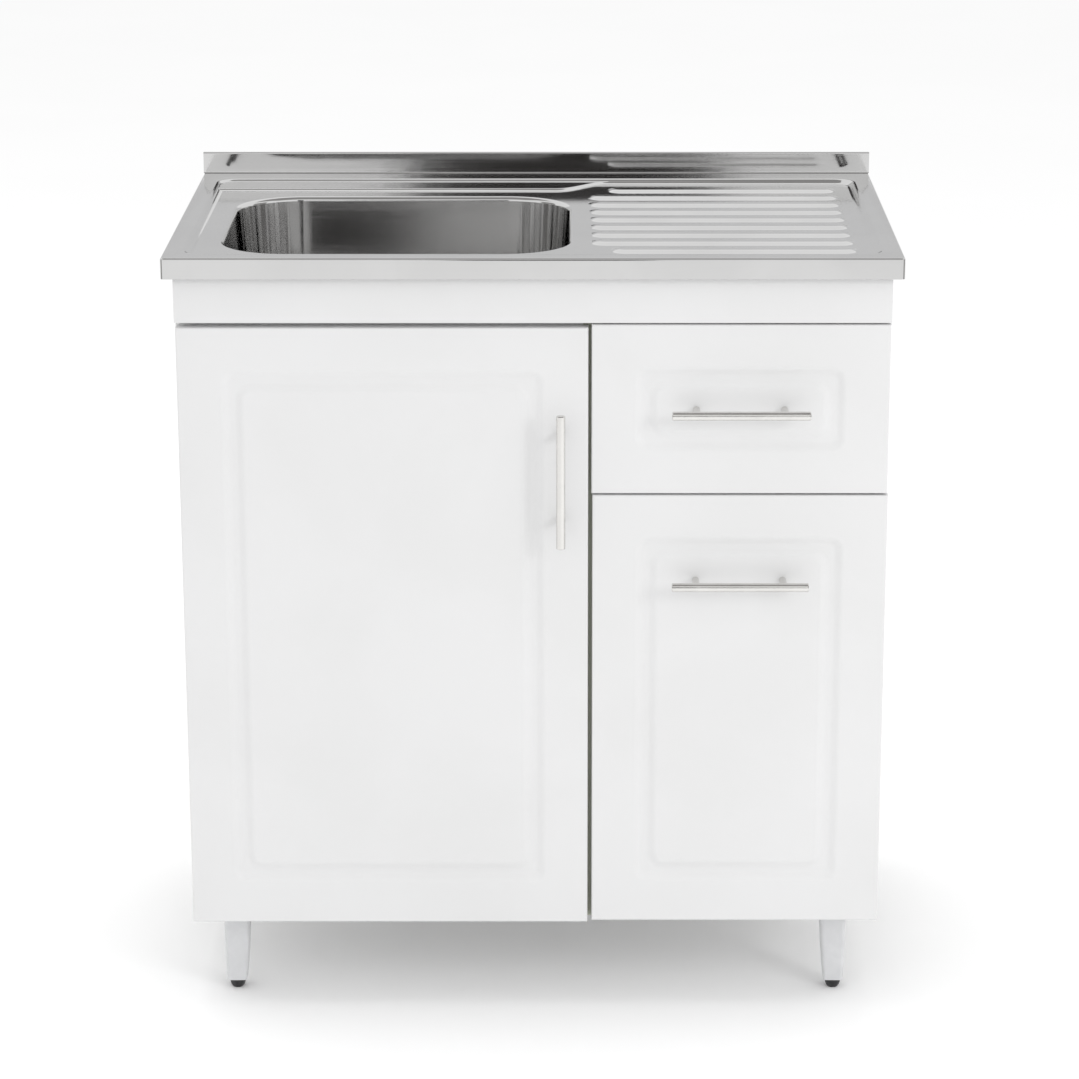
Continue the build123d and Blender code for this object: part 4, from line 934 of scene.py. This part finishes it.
FINISHES = {
    "polished_steel": polished_steel(),
    "strainer_steel": strainer_steel(),
    "white_foil": mottled(
        "white_foil", tones=((0.715, 0.715, 0.715), (0.735, 0.735, 0.737)), rough=(0.34, 0.46),
        grain=(1100, 1100, 1100), depth=0.012 * MM, scale=5.0),
    "white_board": white_board(),
    "hardboard": hardboard(),
    "brushed_bar": mottled(
        "brushed_bar", tones=((0.70, 0.69, 0.67), (0.75, 0.74, 0.72)), rough=(0.14, 0.24),
        grain=(3000, 3000, 3000), depth=0.0006 * MM, metallic=1, scale=40.0),
    "zinc_steel": mottled(
        "zinc_steel", tones=((0.52, 0.54, 0.57), (0.68, 0.68, 0.67)), rough=(0.22, 0.4),
        grain=(500, 500, 500), depth=0.01 * MM, metallic=1, scale=180.0, wear=(0.8, 0.8, 0.8)),
    "runner_steel": mottled(
        "runner_steel", tones=((0.78, 0.76, 0.71), (0.82, 0.80, 0.76)), rough=(0.35, 0.5),
        grain=(2200, 2200, 2200), depth=0.03 * MM, scale=30.0, wear=(0.6, 0.58, 0.55)),
    "nylon": mottled(
        "nylon", tones=((0.78, 0.77, 0.73), (0.84, 0.83, 0.80)), rough=(0.4, 0.55),
        grain=(1500, 1500, 1500), depth=0.02 * MM, scale=60.0),
    "leg_plastic": mottled(
        "leg_plastic", tones=((0.63, 0.635, 0.645), (0.67, 0.675, 0.685)), rough=(0.34, 0.48),
        grain=(1500, 1500, 1500), depth=0.02 * MM, scale=40.0, wear=(0.76, 0.76, 0.77)),
    "foot_rubber": mottled(
        "foot_rubber", tones=((0.012, 0.012, 0.013), (0.025, 0.025, 0.026)), rough=(0.28, 0.45),
        grain=(1800, 1800, 1800), depth=0.03 * MM, scale=120.0, wear=(0.06, 0.06, 0.06)),
    "gasket_rubber": mottled(
        "gasket_rubber", tones=((0.02, 0.02, 0.02), (0.04, 0.04, 0.04)), rough=(0.5, 0.7),
        grain=(1500, 1500, 1500), depth=0.03 * MM, scale=80.0),
    "nut_plastic": mottled(
        "nut_plastic", tones=((0.74, 0.74, 0.73), (0.80, 0.80, 0.79)), rough=(0.38, 0.5),
        grain=(1300, 1300, 1300), depth=0.02 * MM, scale=60.0, wear=(0.86, 0.86, 0.85)),
    "pad_plastic": mottled(
        "pad_plastic", tones=((0.70, 0.72, 0.74), (0.78, 0.79, 0.81)), rough=(0.15, 0.3),
        grain=(1500, 1500, 1500), depth=0.01 * MM, scale=200.0),
}


def dress(piece, material):
    """Give a piece one finish all over."""
    piece.data.materials.clear()
    piece.data.materials.append(material)


def dress_nodes():
    """Give every node of the frame the finish of its slot."""
    for part in frame["record"]["subparts"]:
        node = frame["nodes"][part["node"]]
        for slot in node.material_slots:
            slot.material = FINISHES[part["material_slot"]]


# ---------------------------------------------------------------- floor, lights and camera
FLOOR_SIZE = 60
WORLD_STRENGTH = 0.98
DARK = (0.035, 0.033, 0.032)
DIM = (0.34, 0.335, 0.33)
GREY = (0.66, 0.66, 0.665)
LYING = (0, 0, 0)
UPRIGHT = (math.radians(90), 0, 0)
SIDEWAYS = (0, math.radians(90), 0)
CAMERA_X = 0.036
CAMERA_DISTANCE = 3.7605  # in front of the rim
CAMERA_ABOVE_RIM = 0.798
CAMERA_DOWN = 16.47       # degrees below level
CAMERA_LENS = 119.4
CAMERA_SHIFT = -0.0248


def floor():
    """Plain pale matt floor that runs far behind the unit."""
    new_selection()
    bpy.ops.mesh.primitive_plane_add(size=FLOOR_SIZE, location=(0, 0, 0))
    ground = bpy.context.object
    ground.name = "floor"
    material = mottled(
        "pale_floor", tones=((0.962, 0.962, 0.962), (0.968, 0.968, 0.968)), rough=(0.55, 0.65),
        grain=(60, 60, 60), depth=0.02 * MM, scale=1.5)
    shader_of(material).inputs["Specular IOR Level"].default_value = 0
    dress(ground, material)


def softbox(name, place, target, size, power):
    """Large soft lamp that points at a place and stays out of the picture and of reflections."""
    lamp = bpy.data.lights.new(name, "AREA")
    lamp.shape = "RECTANGLE"
    lamp.size, lamp.size_y = size
    lamp.energy = power
    holder = bpy.data.objects.new(name, lamp)
    bpy.context.scene.collection.objects.link(holder)
    holder.location = place
    holder.rotation_euler = (Vector(target) - Vector(place)).to_track_quat("-Z", "Y").to_euler()
    holder.visible_camera = False
    holder.visible_glossy = False


def flag(name, place, turn, size, tone):
    """Plain card of one tone that the bright steel mirrors, as a studio's flags and walls are."""
    new_selection()
    bpy.ops.mesh.primitive_plane_add(size=1, location=place, rotation=turn)
    card = bpy.context.object
    card.name = name
    card.scale = (*size, 1)
    material = bpy.data.materials.new(name)
    material.use_nodes = True
    nodes, links = material.node_tree.nodes, material.node_tree.links
    nodes.clear()
    glow = nodes.new("ShaderNodeEmission")
    glow.inputs["Color"].default_value = (*tone, 1)
    output = nodes.new("ShaderNodeOutputMaterial")
    links.new(glow.outputs["Emission"], output.inputs["Surface"])
    dress(card, material)
    card.visible_camera = False
    card.visible_shadow = False
    card.visible_diffuse = False


def flags():
    """Plain flags in a white studio: behind the camera, overhead, at the sides and far behind."""
    flag("flag_behind_camera", place=(0.03, -5.6, 1.9), turn=UPRIGHT, size=(0.9, 2.6), tone=DARK)
    flag("flag_overhead", place=(0, -0.6, 3.0), turn=LYING, size=(4.0, 3.3), tone=DIM)
    for side in (-1, 1):
        flag("flag_beside", place=(side * 3.5, -0.3, 1.3), turn=SIDEWAYS, size=(2.6, 2.2), tone=DIM)
    flag("flag_far_behind", place=(0, 40, 8.4), turn=UPRIGHT, size=(60.0, 12.0), tone=GREY)


def studio():
    """White surround, two soft lamps and the flags."""
    world = bpy.data.worlds.new("studio")
    bpy.context.scene.world = world
    world.use_nodes = True
    background = world.node_tree.nodes["Background"]
    background.inputs["Color"].default_value = (1.0, 1.0, 1.0, 1)
    background.inputs["Strength"].default_value = WORLD_STRENGTH
    softbox("key", place=(2.4, -2.5, 1.8), target=(0, 0, 0.6), size=(1.0, 1.0), power=20)
    softbox("top", place=(-0.6, 0.2, 4.2), target=(0, 0, 0), size=(3.0, 3.0), power=40)
    flags()
    view = bpy.context.scene.view_settings
    view.view_transform = "Standard"
    view.look = "None"


def camera():
    """Camera at the photograph's viewing angle."""
    lens = bpy.data.cameras.new("camera")
    lens.sensor_width = 36
    lens.lens = CAMERA_LENS
    lens.shift_x = CAMERA_SHIFT
    holder = bpy.data.objects.new("camera", lens)
    bpy.context.scene.collection.objects.link(holder)
    holder.location = (CAMERA_X, SINK_LOW.y - CAMERA_DISTANCE, RIM + CAMERA_ABOVE_RIM)
    holder.rotation_euler = (math.radians(90 - CAMERA_DOWN), 0, 0)
    bpy.context.scene.camera = holder


# ---------------------------------------------------------------- the unit
dress_nodes()
dress(sink_sheet(), FINISHES["polished_steel"])
door = routed_front("door_front", "door_panel", "door", hinge_side=True)
bore_for_cups(door)
dress(door, FINISHES["white_foil"])
for drawer in ("upper_drawer", "lower_drawer"):
    dress(routed_front(drawer + "_face", drawer + "_front", drawer), FINISHES["white_foil"])
legs()
floor()
studio()
camera()
